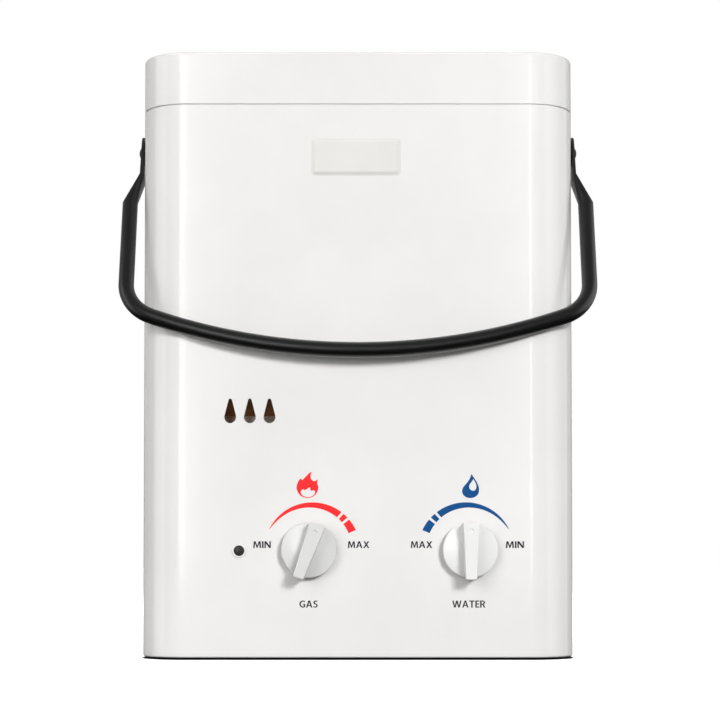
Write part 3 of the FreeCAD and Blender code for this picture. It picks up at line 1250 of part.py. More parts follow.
def gas_inlet():
    """Brass inlet: stem through the base plate, hexagon, and a 5/8 in flare thread below."""
    top = V(GAS_X, ROD_Y, KNOB_Z - GAS_BODY_HEIGHT / 2)
    hex_top_z = BASE_Z
    hex_z = GAS_FLARE_END_Z + GAS_FLARE
    pieces = [
        rod(V(GAS_X, ROD_Y, BASE_Z), UP, top.z - BASE_Z, GAS_STEM_R),
        hexagon(V(GAS_X, ROD_Y, hex_z), UP, GAS_HEX, hex_top_z - hex_z),
        rod(V(GAS_X, ROD_Y, GAS_FLARE_END_Z), UP, GAS_FLARE, GAS_FLARE_R),
    ]
    bore = rod(V(GAS_X, ROD_Y, GAS_FLARE_END_Z), UP, top.z - GAS_FLARE_END_Z,
               GAS_STEM_R - 2 * TUBE_WALL)
    return joined(pieces).cut(bore)


def gas_pipe():
    """Short pipe from the gas valve up to the manifold."""
    start = V(GAS_X, ROD_Y, KNOB_Z + GAS_BODY_HEIGHT / 2)
    end = V(GAS_X, depth(MANIFOLD_DEPTH + MANIFOLD_THICK / 2), JET_Z - MANIFOLD_HEIGHT / 2)
    level = start.z + GAS_PIPE_BEND_R + TUBE_WALL / 2
    return bent_tube([start, V(start.x, start.y, level), V(end.x, end.y, level), end],
                     GAS_PIPE_BEND_R, GAS_PIPE_R - TUBE_WALL / 2, TUBE_WALL)


def solenoid_valve():
    """Safety solenoid on the back of the gas valve, with two terminals."""
    seat = V(GAS_X, depth(GAS_BODY_FRONT + GAS_BODY_DEPTH), KNOB_Z)
    body = stepped(seat, TO_BACK, [(SOLENOID_FLANGE, SOLENOID_R + SOLENOID_FLANGE),
                                   (SOLENOID, SOLENOID_R)])
    end_y = seat.y + SOLENOID_FLANGE + SOLENOID
    half = TERMINAL_THICK / 2
    terminals = [box(x - half, x + half, end_y, end_y + TERMINAL_LENGTH,
                     KNOB_Z - TERMINAL_WIDTH / 2, KNOB_Z + TERMINAL_WIDTH / 2)
                 for x in (GAS_X - SOLENOID_TERMINAL_X, GAS_X + SOLENOID_TERMINAL_X)]
    return joined([body] + terminals)


# ---------------------------------------------------------------- water side

def valve_screw_places(x):
    """Where the screws of the diaphragm joint cross a plane of constant X."""
    places = []
    for index in range(VALVE_SCREW_COUNT):
        angle = math.radians(360 / VALVE_SCREW_COUNT * (index + 0.5))
        places.append(V(x, ROD_Y + VALVE_SCREW_CIRCLE_R * math.cos(angle),
                        ROD_Z + VALVE_SCREW_CIRCLE_R * math.sin(angle)))
    return places


def water_valve_body():
    """Brass body with a spindle boss, and a round flange for the diaphragm on its left."""
    block = pad_in_xz(WATER_BODY_LEFT, WATER_BODY_RIGHT, WATER_BODY_Z, WATER_BODY_TOP_Z,
                      WATER_BODY_CORNER_R, depth(WATER_BODY_FRONT),
                      depth(WATER_BODY_FRONT + WATER_BODY_DEPTH))
    boss_y = depth(GAS_BODY_FRONT - GAS_BOSS)
    boss = rod(V(WATER_X, boss_y, KNOB_Z), TO_BACK, depth(WATER_BODY_FRONT) - boss_y, GAS_BOSS_R)
    flange = rod(V(WATER_BODY_LEFT, ROD_Y, ROD_Z), TO_LEFT, DISC_FLANGE, DISC_R)
    body = joined([block, boss, flange])
    holes = [rod(place, TO_LEFT, DISC_FLANGE, VALVE_SCREW_R)
             for place in valve_screw_places(WATER_BODY_LEFT)]
    return body.cut(holes + [
        rod(V(WATER_X, boss_y, KNOB_Z), TO_BACK,
            depth(GAS_BODY_FRONT + SPINDLE_IN_VALVE + ROD_END_PLAY) - boss_y, SPINDLE_R + SPINDLE_FIT),
        rod(V(WATER_X, ROD_Y, WATER_BODY_Z), UP, STEM_R, STEM_R - 2 * TUBE_WALL),
        rod(V(WATER_BODY_RIGHT, ROD_Y, ROD_Z), TO_LEFT, PIPE_R, PIPE_R - TUBE_WALL),
    ])


def diaphragm():
    """Rubber disc clamped between the water valve's body and its cover."""
    disc = rod(V(DIAPHRAGM_X, ROD_Y, ROD_Z), TO_RIGHT, DIAPHRAGM_THICK, DISC_R)
    return disc.cut([rod(place, TO_RIGHT, DIAPHRAGM_THICK, VALVE_SCREW_R)
                     for place in valve_screw_places(DIAPHRAGM_X)])


def water_valve_cover():
    """Dished cover over the diaphragm, with a neck that guides the push rod."""
    seat = V(VALVE_COVER_X, ROD_Y, ROD_Z)
    body = joined([rod(seat, TO_RIGHT, VALVE_COVER_THICK, DISC_R),
                   rod(seat, TO_LEFT, VALVE_COVER_NECK, VALVE_COVER_NECK_R)])
    hollow = rod(seat + TO_RIGHT * VALVE_COVER_WALL, TO_RIGHT, VALVE_COVER_THICK, VALVE_COVER_HOLLOW_R)
    bore = rod(seat + TO_LEFT * VALVE_COVER_NECK, TO_RIGHT, VALVE_COVER_NECK + VALVE_COVER_THICK,
               ROD_R + ROD_FIT)
    holes = [rod(place, TO_RIGHT, VALVE_COVER_THICK, VALVE_SCREW_R)
             for place in valve_screw_places(VALVE_COVER_X)]
    return body.cut([hollow, bore] + holes)


def valve_screws():
    """Screws that clamp the diaphragm between body and cover."""
    length = VALVE_COVER_THICK + DIAPHRAGM_THICK + DISC_FLANGE - VALVE_SCREW_SHORT
    screws = []
    for place in valve_screw_places(VALVE_COVER_X):
        shank = rod(place, TO_RIGHT, length, VALVE_SCREW_R)
        head = hexagon(place, TO_LEFT, VALVE_SCREW_HEX, VALVE_SCREW_HEAD)
        screws.append(joined([shank, head]))
    return group(screws)


def push_rod():
    """Rod from the diaphragm to the gas valve, with a plate at one end and a collar for the switch."""
    start_x = GAS_BODY_RIGHT - ROD_IN_GAS_BODY
    plate_x = DIAPHRAGM_X - SHEET_CLEARANCE - ROD_PLATE
    return joined([
        rod(V(start_x, ROD_Y, ROD_Z), TO_RIGHT, plate_x - start_x, ROD_R),
        rod(V(plate_x, ROD_Y, ROD_Z), TO_RIGHT, ROD_PLATE, ROD_PLATE_R),
        rod(V(ROD_COLLAR_X, ROD_Y, ROD_Z), TO_RIGHT, ROD_COLLAR, ROD_COLLAR_R),
    ])


def rod_spring():
    """Coil spring round the rod, from the gas valve to the collar."""
    left = GAS_BODY_RIGHT + SPRING_WIRE_R
    right = ROD_COLLAR_X - SPRING_WIRE_R
    length = right - left
    helix = Part.makeHelix(length / SPRING_TURNS, length, SPRING_R)
    along = V(0, 2 * math.pi * SPRING_R, length / SPRING_TURNS).normalize()
    section = Part.Wire([Part.makeCircle(SPRING_WIRE_R, V(SPRING_R, 0, 0), along)])
    coil = helix.makePipeShell([section], True, True)
    coil = coil.rotated(V(0, 0, 0), TO_BACK, 90)
    return coil.translated(V(left, ROD_Y, ROD_Z))


def water_fitting(x, y, top_z):
    """Hose connector: stem through the base plate, hexagon, and a 3/4 in hose thread below."""
    hex_z = BASE_Z - HOSE_HEX_HEIGHT
    pieces = [
        rod(V(x, y, BASE_Z), UP, top_z - BASE_Z, STEM_R),
        hexagon(V(x, y, hex_z), UP, HOSE_HEX, HOSE_HEX_HEIGHT),
        rod(V(x, y, HOSE_END_Z), UP, hex_z - HOSE_END_Z, HOSE_THREAD_R),
    ]
    bores = [rod(V(x, y, HOSE_END_Z), UP, HOSE_THREAD, HOSE_BORE_R),
             rod(V(x, y, HOSE_END_Z), UP, top_z - HOSE_END_Z, STEM_R - 2 * TUBE_WALL)]
    return joined(pieces).cut(bores)


def cold_pipe():
    """Pipe from the water valve to the start of the coil round the chamber."""
    start = V(WATER_BODY_RIGHT, ROD_Y, ROD_Z)
    coil_front = depth(CHAMBER_FRONT - COIL_R - COIL_GAP)
    points = [start, V(COLD_PIPE_X, ROD_Y, ROD_Z),
              V(COLD_PIPE_X, ROD_Y, COIL_LOW_Z - 3 * COIL_BEND_R),
              V(COLD_PIPE_X, coil_front, COIL_LOW_Z),
              V(PIPE_SIDE_X, coil_front, COIL_LOW_Z)]
    return bent_tube(points, COLD_BEND_R, COIL_R, TUBE_WALL)


def hot_pipe():
    """Pipe from the last fin tube down the right-hand side and across to the outlet."""
    last = fin_tube_ends()[1]
    outlet = V(OUTLET_X, depth(OUTLET_DEPTH), OUTLET_TOP_Z)
    low_z = OUTLET_TOP_Z + 2 * PIPE_BEND_R
    points = [last, V(HOT_PIPE_X, last.y, last.z), V(HOT_PIPE_X, last.y, COIL_LOW_Z),
              V(HOT_PIPE_X, outlet.y, COIL_LOW_Z - 2 * PIPE_BEND_R), V(HOT_PIPE_X, outlet.y, low_z),
              V(outlet.x, outlet.y, low_z), outlet]
    return bent_tube(points, PIPE_BEND_R, PIPE_R, TUBE_WALL)


def pipe_nuts():
    """Union nuts where pipes meet the valve, the fin tubes and the outlet."""
    first, last = fin_tube_ends()
    places = [(V(WATER_BODY_RIGHT, ROD_Y, ROD_Z), TO_RIGHT, COIL_R),
              (first, TO_RIGHT, COIL_R),
              (last, TO_RIGHT, PIPE_R),
              (V(OUTLET_X, depth(OUTLET_DEPTH), OUTLET_TOP_Z), UP, PIPE_R)]
    nuts = []
    for seat, direction, bore_r in places:
        nut = hexagon(seat, direction, PIPE_NUT_WIDTH, PIPE_NUT)
        nuts.append(nut.cut(rod(seat, direction, PIPE_NUT, bore_r)))
    return group(nuts)


def relief_valve():
    """Small relief and drain valve on the back of the water valve, with a hexagon to open it by."""
    seat = V(WATER_X, depth(WATER_BODY_FRONT + WATER_BODY_DEPTH), RELIEF_Z)
    stem = rod(seat, TO_BACK, RELIEF_STEM, RELIEF_R)
    head = hexagon(seat + TO_BACK * RELIEF_STEM, TO_BACK, RELIEF_HEX, RELIEF_HEX_LENGTH)
    outlet = rod(seat + TO_BACK * (RELIEF_STEM + RELIEF_HEX_LENGTH), TO_BACK, TUBE_WALL, RELIEF_R / 2)
    return joined([stem, head, outlet])


# ---------------------------------------------------------------- microswitch

def switch_lever():
    """Strip that the rod's collar pushes, hung from an eye."""
    y0 = ROD_Y - LEVER_WIDTH / 2
    eye = rod(V(LEVER_X, y0, LEVER_Z), TO_BACK, LEVER_WIDTH, LEVER_EYE_R)
    strip = box(LEVER_X - LEVER_THICK / 2, LEVER_X + LEVER_THICK / 2, y0, y0 + LEVER_WIDTH,
                LEVER_Z - LEVER_LENGTH, LEVER_Z)
    bore = rod(V(LEVER_X, y0, LEVER_Z), TO_BACK, LEVER_WIDTH, LEVER_PIN_R + LEVER_FIT)
    return joined([eye, strip]).cut(bore)


def microswitch():
    """Small switch with the lever's pin on its front."""
    z0 = LEVER_Z - SWITCH_HEIGHT / 2
    body = box(LEVER_X - SWITCH_LENGTH / 2, LEVER_X + SWITCH_LENGTH / 2, SWITCH_FRONT_Y,
               SWITCH_FRONT_Y + SWITCH_THICK, z0, z0 + SWITCH_HEIGHT)
    pin_length = SWITCH_BEHIND + LEVER_WIDTH / 2 + LEVER_THICK
    pin = rod(V(LEVER_X, SWITCH_FRONT_Y, LEVER_Z), TO_FRONT, pin_length, LEVER_PIN_R)
    half = SWITCH_TERMINAL_WIDTH / 2
    y0 = SWITCH_FRONT_Y + SWITCH_THICK / 2 - SWITCH_TERMINAL_THICK / 2
    top = z0 + SWITCH_HEIGHT
    terminals = [box(LEVER_X + x - half, LEVER_X + x + half, y0, y0 + SWITCH_TERMINAL_THICK,
                     top, top + SWITCH_TERMINAL) for x in SWITCH_TERMINALS]
    return joined([body, pin] + terminals)


def switch_bracket():
    """Angle from the gas valve that carries the microswitch."""
    z0 = LEVER_Z - SWITCH_HEIGHT / 2
    z1 = z0 + SWITCH_HEIGHT
    plate_y = SWITCH_FRONT_Y + SWITCH_THICK
    foot = box(GAS_BODY_RIGHT, GAS_BODY_RIGHT + BRACKET_THICK, plate_y - SWITCH_THICK,
               plate_y + BRACKET_THICK, z0, z1)
    plate = box(GAS_BODY_RIGHT, LEVER_X + SWITCH_LENGTH / 2, plate_y, plate_y + BRACKET_THICK, z0, z1)
    return joined([foot, plate])


# ---------------------------------------------------------------- batteries and ignition

def battery_plan(inset):
    """Plan of the battery box, drawn in by inset: x0, x1, y0, y1."""
    x0 = BATTERY_X - BATTERY_WIDTH / 2
    y0 = depth(BATTERY_FRONT)
    return x0 + inset, x0 + BATTERY_WIDTH - inset, y0 + inset, y0 + BATTERY_DEPTH - inset


def cell_axes():
    """Feet of the two upright cells' axes."""
    y = depth(BATTERY_FRONT) + BATTERY_DEPTH / 2
    half = CELL_R + CELL_CLEARANCE / 2
    return [V(BATTERY_X - half, y, CELL_Z), V(BATTERY_X + half, y, CELL_Z)]


def battery_box():
    """Moulded box for two upright cells, which stands on the base plate and is open below."""
    return box(*battery_plan(0), BASE_TOP_Z, BATTERY_TOP_Z).cut(
        box(*battery_plan(BATTERY_WALL), BASE_TOP_Z, BATTERY_TOP_Z - BATTERY_WALL))


def batteries():
    """Two D cells, one of them upside down."""
    cells = []
    for index, foot in enumerate(cell_axes()):
        steps = [(CELL_LENGTH - CELL_CAP, CELL_R), (CELL_CAP, CELL_CAP_R)]
        if index == 0:
            cells.append(stepped(foot, UP, steps))
        else:
            cells.append(stepped(foot + UP * CELL_LENGTH, DOWN, steps))
    return group(cells)


def battery_contacts():
    """Two contact plates under the box's roof, each with a tab through its front wall."""
    z0 = CELL_TOP_Z
    z1 = z0 + CONTACT_THICK
    y_inside = battery_plan(BATTERY_WALL)[2]
    return group([joined([rod(V(foot.x, foot.y, z0), UP, CONTACT_THICK, CONTACT_R),
                          box(foot.x - CONTACT_R / 2, foot.x + CONTACT_R / 2, y_inside, foot.y, z0, z1)])
                  for foot in cell_axes()])


def hinge_axis():
    """Middle of the battery door's hinge line, just under the base plate."""
    x0, x1, y0, _ = battery_plan(BATTERY_WALL - DOOR_LAP)
    return V((x0 + x1) / 2, y0 - HINGE_R, DOOR_TOP_Z - HINGE_R)


def hinge_half():
    """Half the length of the door's hinge barrel."""
    x0, x1, _, _ = battery_plan(BATTERY_WALL - DOOR_LAP)
    return (x1 - x0) / 2 - HINGE_LUG - HINGE_PLAY


def hinge_lugs():
    """Two lugs under the base plate that carry the door's hinge pin."""
    axis = hinge_axis()
    lugs = []
    for side in (-1, 1):
        inner = axis.x + side * (hinge_half() + HINGE_PLAY)
        x0 = min(inner, inner + side * HINGE_LUG)
        lug = box(x0, x0 + HINGE_LUG, axis.y - HINGE_R, axis.y + HINGE_R, axis.z, BASE_Z).fuse(
            rod(V(x0, axis.y, axis.z), TO_RIGHT, HINGE_LUG, HINGE_R))
        lugs.append(lug.cut(rod(V(x0, axis.y, axis.z), TO_RIGHT, HINGE_LUG, DOOR_PIN_R)))
    return lugs


def hinge_pin():
    """Pin held in the two lugs."""
    half = hinge_half() + HINGE_PLAY + HINGE_LUG
    axis = hinge_axis()
    return rod(V(axis.x - half, axis.y, axis.z), TO_RIGHT, 2 * half, DOOR_PIN_R)


def battery_door():
    """Flap under the cells, with a hinge barrel along its front and a finger lip at its back."""
    x0, x1, y0, y1 = battery_plan(BATTERY_WALL - DOOR_LAP)
    axis = hinge_axis()
    plate = pad_in_xy(x0, x1, y0 - HINGE_R, y1, DOOR_CORNER_R, DOOR_TOP_Z - DOOR_THICK, DOOR_TOP_Z)
    half = hinge_half()
    beside_barrel = [box(x0, axis.x - half, y0 - 2 * HINGE_R, y0, axis.z - HINGE_R, BASE_Z),
                     box(axis.x + half, x1, y0 - 2 * HINGE_R, y0, axis.z - HINGE_R, BASE_Z)]
    barrel = rod(V(axis.x - half, axis.y, axis.z), TO_RIGHT, 2 * half, HINGE_R)
    lip = box(axis.x - DOOR_LIP_WIDTH / 2, axis.x + DOOR_LIP_WIDTH / 2, y1 - DOOR_THICK, y1,
              DOOR_TOP_Z - DOOR_THICK - DOOR_LIP, DOOR_TOP_Z)
    bore = rod(V(axis.x - half, axis.y, axis.z), TO_RIGHT, 2 * half, DOOR_PIN_R + DOOR_PIN_FIT)
    return joined([plate.cut(beside_barrel), barrel, lip]).cut(bore)


def door_contact():
    """Strip on the door that joins the two cells' lower ends."""
    left, right = cell_axes()
    y_half = CONTACT_R
    return pad_in_xy(left.x - CONTACT_R, right.x + CONTACT_R, left.y - y_half, left.y + y_half,
                     CONTACT_R / 2, DOOR_TOP_Z, DOOR_TOP_Z + CONTACT_THICK)


def module_corner():
    """Lower left corner of the ignition module, beside the burner's left end."""
    x = -CHAMBER_WIDTH / 2 - MODULE_SIDE_ROOM - MODULE_WIDTH
    return V(x, battery_plan(0)[2], BATTERY_TOP_Z)


def module_posts():
    """Feet of the ignition module's two lead posts: spark first, then sensor."""
    corner = module_corner()
    return [corner + V(MODULE_WIDTH * share, MODULE_DEPTH / 2, MODULE_HEIGHT)
            for share in MODULE_POST_SHARES]


def ignition_module():
    """Potted spark and flame control box that stands on the battery box."""
    corner = module_corner()
    points = [corner, corner + V(MODULE_WIDTH, 0, 0), corner + V(MODULE_WIDTH, MODULE_DEPTH, 0),
              corner + V(0, MODULE_DEPTH, 0)]
    body = prism(points, [MODULE_CORNER_R] * 4, V(0, 0, MODULE_HEIGHT))
    posts = [rod(foot, UP, MODULE_POST, MODULE_POST_R) for foot in module_posts()]
    return joined([body] + posts)


def ignition_leads():
    """Spark lead and sensor lead, from the module's posts to the front ends of the ceramics."""
    leads = []
    front = depth(LEAD_DEPTH)
    for foot, x, rise in zip(module_posts(), (ELECTRODE_X, SENSOR_X),
                             (LEAD_RISE, LEAD_RISE - LEAD_SPACING)):
        start = foot + UP * MODULE_POST
        level = start.z + rise
        end = V(x, depth(CERAMIC_FRONT), ELECTRODE_Z)
        points = [start, V(start.x, start.y, level), V(start.x, front, level), V(x, front, level),
                  V(x, front, end.z), end]
        leads.append(bent_bar(points, LEAD_BEND_R * NEARLY_WHOLE, LEAD_R))
    return group(leads)


def tilt_switch():
    """Tip-over switch on the back plate."""
    rear = depth(BACK_PLATE_DEPTH)
    half = TILT_SIZE / 2
    body = box(TILT_X - half, TILT_X + half, rear - TILT_DEPTH, rear, TILT_Z - half, TILT_Z + half)
    flange = box(TILT_X - half, TILT_X + half, rear - BRACKET_THICK, rear, TILT_Z - TILT_SIZE, TILT_Z)
    return joined([body, flange])


# ---------------------------------------------------------------- write the nodes

def main():
    """Build every node."""
    os.makedirs("parts", exist_ok=True)
    nodes = [
        front_cover, back_plate, top_cap, base_plate, badge_plate, sight_window, sight_window_frame,
        rubber_feet, lamp_bezel, lamp_lens, lamp_holder,
        handle, handle_washers, pivot_screws, pivot_nuts,
        chamber_shell, fin_pack, exchanger_tubes, chamber_coil, exchanger_brackets,
        overheat_thermostat, flue_hood,
        burner_bars, burner_frame, gas_manifold, gas_nozzles, electrodes, electrode_bracket,
        gas_valve_body, gas_inlet, gas_pipe, solenoid_valve,
        water_valve_body, diaphragm, water_valve_cover, valve_screws, push_rod, rod_spring,
        cold_pipe, hot_pipe, pipe_nuts, relief_valve,
        switch_lever, microswitch, switch_bracket,
        battery_box, batteries, battery_contacts, battery_door, door_contact, hinge_pin,
        ignition_module, ignition_leads, tilt_switch,
    ]
    for build in nodes:
        save(build.__name__, build())
    save("gas_knob", knob(GAS_X, GAS_KNOB_TURN))
    save("gas_spindle", spindle(GAS_X, GAS_KNOB_TURN))
    save("water_knob", knob(WATER_X, WATER_KNOB_TURN))
    save("water_spindle", spindle(WATER_X, WATER_KNOB_TURN))
    save("case_screws", group([screw(seat, TO_FRONT)
                               for seat in COVER_SCREWS + CAP_SCREWS + BASE_SCREWS + BRACKET_SCREWS]))
    save("water_fittings", group([
        water_fitting(WATER_X, ROD_Y, WATER_BODY_Z),
        water_fitting(OUTLET_X, depth(OUTLET_DEPTH), OUTLET_TOP_Z)]))


main()
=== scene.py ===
"""Portable propane water heater: its outside in fine meshes, and the finish of every part.

Lengths are in millimetres until a mesh is made, which turns them to metres. +Z is up, the front
faces -Y and +X is to the right of someone who looks at the front. The origin lies on the ground
under the middle of the casing's width.
"""

from __future__ import annotations

import logging
from collections.abc import Iterable
from dataclasses import dataclass, field, replace
from enum import Enum
from functools import reduce
from operator import add

import bmesh
import bpy
import numpy as np
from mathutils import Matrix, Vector
from mathutils.geometry import tessellate_polygon

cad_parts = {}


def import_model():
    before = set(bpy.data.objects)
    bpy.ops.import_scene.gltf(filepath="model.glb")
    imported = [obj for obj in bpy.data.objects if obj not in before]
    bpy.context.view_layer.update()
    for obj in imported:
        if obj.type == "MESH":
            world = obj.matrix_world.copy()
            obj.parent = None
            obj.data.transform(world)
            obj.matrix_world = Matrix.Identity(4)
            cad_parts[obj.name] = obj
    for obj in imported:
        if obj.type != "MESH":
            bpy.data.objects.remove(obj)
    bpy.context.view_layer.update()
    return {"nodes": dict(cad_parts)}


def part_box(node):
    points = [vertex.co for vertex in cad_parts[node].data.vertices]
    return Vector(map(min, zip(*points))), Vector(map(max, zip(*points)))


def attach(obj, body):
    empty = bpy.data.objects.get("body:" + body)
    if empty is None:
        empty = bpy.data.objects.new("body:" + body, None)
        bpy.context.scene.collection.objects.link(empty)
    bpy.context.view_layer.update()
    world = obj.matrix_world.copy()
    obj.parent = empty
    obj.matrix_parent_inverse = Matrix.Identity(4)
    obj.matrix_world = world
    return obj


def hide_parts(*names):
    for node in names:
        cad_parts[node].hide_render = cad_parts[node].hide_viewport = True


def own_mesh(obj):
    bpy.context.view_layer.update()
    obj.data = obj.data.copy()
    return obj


LOG = logging.getLogger("water_heater")
MM = 0.001
Settings = dict[str | int, object]
Pairs = list[tuple[float, float]]
Spot = tuple[float, float, float]

FRONT_Y = -47.5
REAR_Y = 67.5
MIDDLE_Y = 10.0
HALF_WIDTH = 152.5
KNOB_Z = 76.3
GAS_X = -34.0
WATER_X = 78.0
PIVOT_Z = 365.8
SHEET = 1.0


# ---------------------------------------------------------------- shapes as arrays

@dataclass
class Surface:
    """A mesh held as arrays.

    Attributes:
        points: One row of x, y, z for each vertex, in millimetres.
        faces: Vertex numbers of each face.
    """

    points: np.ndarray
    faces: list[tuple[int, ...]]

    def __add__(self, other: Surface) -> Surface:
        """Both surfaces as one, with the second one's faces renumbered.

        Args:
            other: The second surface.

        Returns:
            The joined surface.
        """
        shift = len(self.points)
        moved = [tuple(number + shift for number in face) for face in other.faces]
        return Surface(np.vstack([self.points, other.points]), self.faces + moved)

    def placed(self, turn: np.ndarray, origin: Spot) -> Surface:
        """Turn the points by a 3 by 3 matrix, then move them to origin."""
        return Surface(self.points @ turn.T + np.array(origin), self.faces)


def joined(surfaces: Iterable[Surface]) -> Surface:
    """All the surfaces as one, in their order."""
    return reduce(add, surfaces)


class Facing(Enum):
    """Which way the local +Z of a surface points once it is in place.

    Its local +Y then points up, or to the rear where +Z points up.
    """

    FRONT = ((1, 0, 0), (0, 0, -1), (0, 1, 0))
    RIGHT = ((0, 0, 1), (1, 0, 0), (0, 1, 0))
    LEFT = ((0, 0, -1), (-1, 0, 0), (0, 1, 0))
    UP = ((1, 0, 0), (0, 1, 0), (0, 0, 1))

    @property
    def turn(self) -> np.ndarray:
        """Matrix that turns local points to this facing."""
        return np.array(self.value, float)


def turn_about_z(degrees: float) -> np.ndarray:
    """Matrix of an anticlockwise turn about the local +Z."""
    cos, sin = np.cos(np.radians(degrees)), np.sin(np.radians(degrees))
    return np.array([[cos, -sin, 0], [sin, cos, 0], [0, 0, 1]])


def turn_about_x(degrees: float) -> np.ndarray:
    """Matrix of an anticlockwise turn about +X."""
    cos, sin = np.cos(np.radians(degrees)), np.sin(np.radians(degrees))
    return np.array([[1, 0, 0], [0, cos, -sin], [0, sin, cos]])


def around(count: int) -> np.ndarray:
    """Evenly spaced angles in radians round a full circle, from 0."""
    return np.linspace(0, 2 * np.pi, count, endpoint=False)


def grid(points: np.ndarray, wrap: bool = False,
         skip: tuple[tuple[int, int], ...] = ()) -> Surface:
    """Four-sided faces between neighbours in an array of points.

    Args:
        points: Array of rows by columns by x, y, z.
        wrap: Whether the last column joins the first one.
        skip: Row and column of each face that is left out.

    Returns:
        The surface, with one vertex for each point.
    """
    rows, columns = points.shape[:2]
    numbers = np.arange(rows * columns).reshape(rows, columns)
    if wrap:
        numbers = np.hstack([numbers, numbers[:, :1]])
    corners = (numbers[:-1, :-1], numbers[:-1, 1:], numbers[1:, 1:], numbers[1:, :-1])
    quads = np.stack(corners, axis=-1)
    keep = np.ones(quads.shape[:2], bool)
    for row, column in skip:
        keep[row, column] = False
    return Surface(points.reshape(-1, 3), [tuple(face) for face in quads[keep].tolist()])


def end_face(ring: np.ndarray) -> Surface:
    """One face that fills a ring of points."""
    return Surface(ring, [tuple(range(len(ring)))])


def lathe(profile: Pairs, count: int = 64) -> Surface:
    """Surface of revolution about the local +Z.

    Each point (radius, height) of the profile becomes a ring: x = radius cos t, y = radius sin t,
    z = height, for t round the full circle. A radius of 0 closes the surface in a pole.

    Args:
        profile: Radius and height of each ring, in order.
        count: Points on each ring.

    Returns:
        The surface.
    """
    radius, height = np.array(profile, float).T
    angle = around(count)
    rings = np.stack([np.outer(radius, np.cos(angle)), np.outer(radius, np.sin(angle)),
                      np.repeat(height[:, None], count, axis=1)], axis=-1)
    return grid(rings, wrap=True)


def arc_profile(centre: tuple[float, float], radius: float, start: float, end: float,
                count: int = 7) -> Pairs:
    """Circular arc in a profile: centre + radius (cos a, sin a).

    Args:
        centre: Radius and height of its middle.
        radius: Its radius; a negative one takes the opposite side.
        start: First value of a, in degrees.
        end: Last value of a, in degrees.
        count: Number of points.

    Returns:
        The arc's points.
    """
    angle = np.radians(np.linspace(start, end, count))
    return [(float(x), float(y)) for x, y in
            zip(centre[0] + radius * np.cos(angle), centre[1] + radius * np.sin(angle))]


def dome_profile(radius: float, foot: float, rise: float) -> Pairs:
    """Low dome in a profile, at share s of its radius as high as foot + rise (1 - s^2)."""
    return [(float(radius * s), float(foot + rise * (1 - s * s))) for s in np.linspace(1, 0, 9)]


def lifted(loop: np.ndarray, height: float | np.ndarray) -> np.ndarray:
    """Points x, y with a height added, which is one number or one for each point."""
    return np.column_stack([loop, np.zeros(len(loop)) + height])


def flat_panel(outline: np.ndarray, holes: list[np.ndarray], height: float) -> Surface:
    """Flat surface at one height, filled between an outline and the holes in it.

    Args:
        outline: Outer loop of x, y points.
        holes: Inner loops.
        height: Local z of the whole surface.

    Returns:
        Triangles over the loops' own points.
    """
    loops = [outline, *holes]
    points = np.vstack([lifted(loop, height) for loop in loops])
    triangles = tessellate_polygon([[Vector((x, y, 0)) for x, y in loop.tolist()]
                                    for loop in loops])
    return Surface(points, [tuple(triangle) for triangle in triangles])


def rounded_outline(corners: Pairs, radius: float, steps: int = 7,
                    run: int = 1) -> tuple[np.ndarray, np.ndarray]:
    """Convex outline with round corners.

    Each corner is an arc about the point that lies radius inside both its sides, and each side gets
    evenly spaced points. Outline plus normals times d is the same outline grown by d.

    Args:
        corners: Sharp corners, anticlockwise.
        radius: Radius of the arcs.
        steps: Points on each arc.
        run: Points added on each side between two arcs.

    Returns:
        The points and their outward unit normals.
    """
    sharp = np.array(corners, float)
    side = np.roll(sharp, -1, axis=0) - sharp
    side /= np.linalg.norm(side, axis=1)[:, None]
    normal = np.stack([side[:, 1], -side[:, 0]], axis=1)
    before = np.roll(normal, 1, axis=0)
    centre = sharp - (before + normal) * (radius / (1 + (before * normal).sum(axis=1)))[:, None]
    start = np.arctan2(before[:, 1], before[:, 0])
    sweep = np.mod(np.arctan2(normal[:, 1], normal[:, 0]) - start, 2 * np.pi)
    angle = start[:, None] + sweep[:, None] * np.linspace(0, 1, steps)
    arc_normal = np.stack([np.cos(angle), np.sin(angle)], axis=-1)
    arc = centre[:, None] + radius * arc_normal
    share = np.linspace(0, 1, run + 2)[1:-1, None]
    straight = arc[:, -1:] + (np.roll(arc[:, :1], -1, axis=0) - arc[:, -1:]) * share
    straight_normal = np.repeat(normal[:, None], run, axis=1)
    return (np.concatenate([arc, straight], axis=1).reshape(-1, 2),
            np.concatenate([arc_normal, straight_normal], axis=1).reshape(-1, 2))


def raised_plate(points: np.ndarray, normals: np.ndarray, rows: Pairs) -> Surface:
    """Closed plate: an outline is grown and lifted row by row, and closed at both ends.

    Args:
        points: The outline.
        normals: Its outward normals.
        rows: Growth of the outline and height, from the bottom row to the top one.

    Returns:
        The surface.
    """
    growth, height = np.array(rows, float).T
    flat = points[None] + normals[None] * growth[:, None, None]
    lift = np.repeat(height[:, None, None], len(points), axis=1)
    wall = grid(np.concatenate([flat, lift], axis=-1), wrap=True)
    return wall + flat_panel(flat[0], [], height[0]) + flat_panel(flat[-1], [], height[-1])


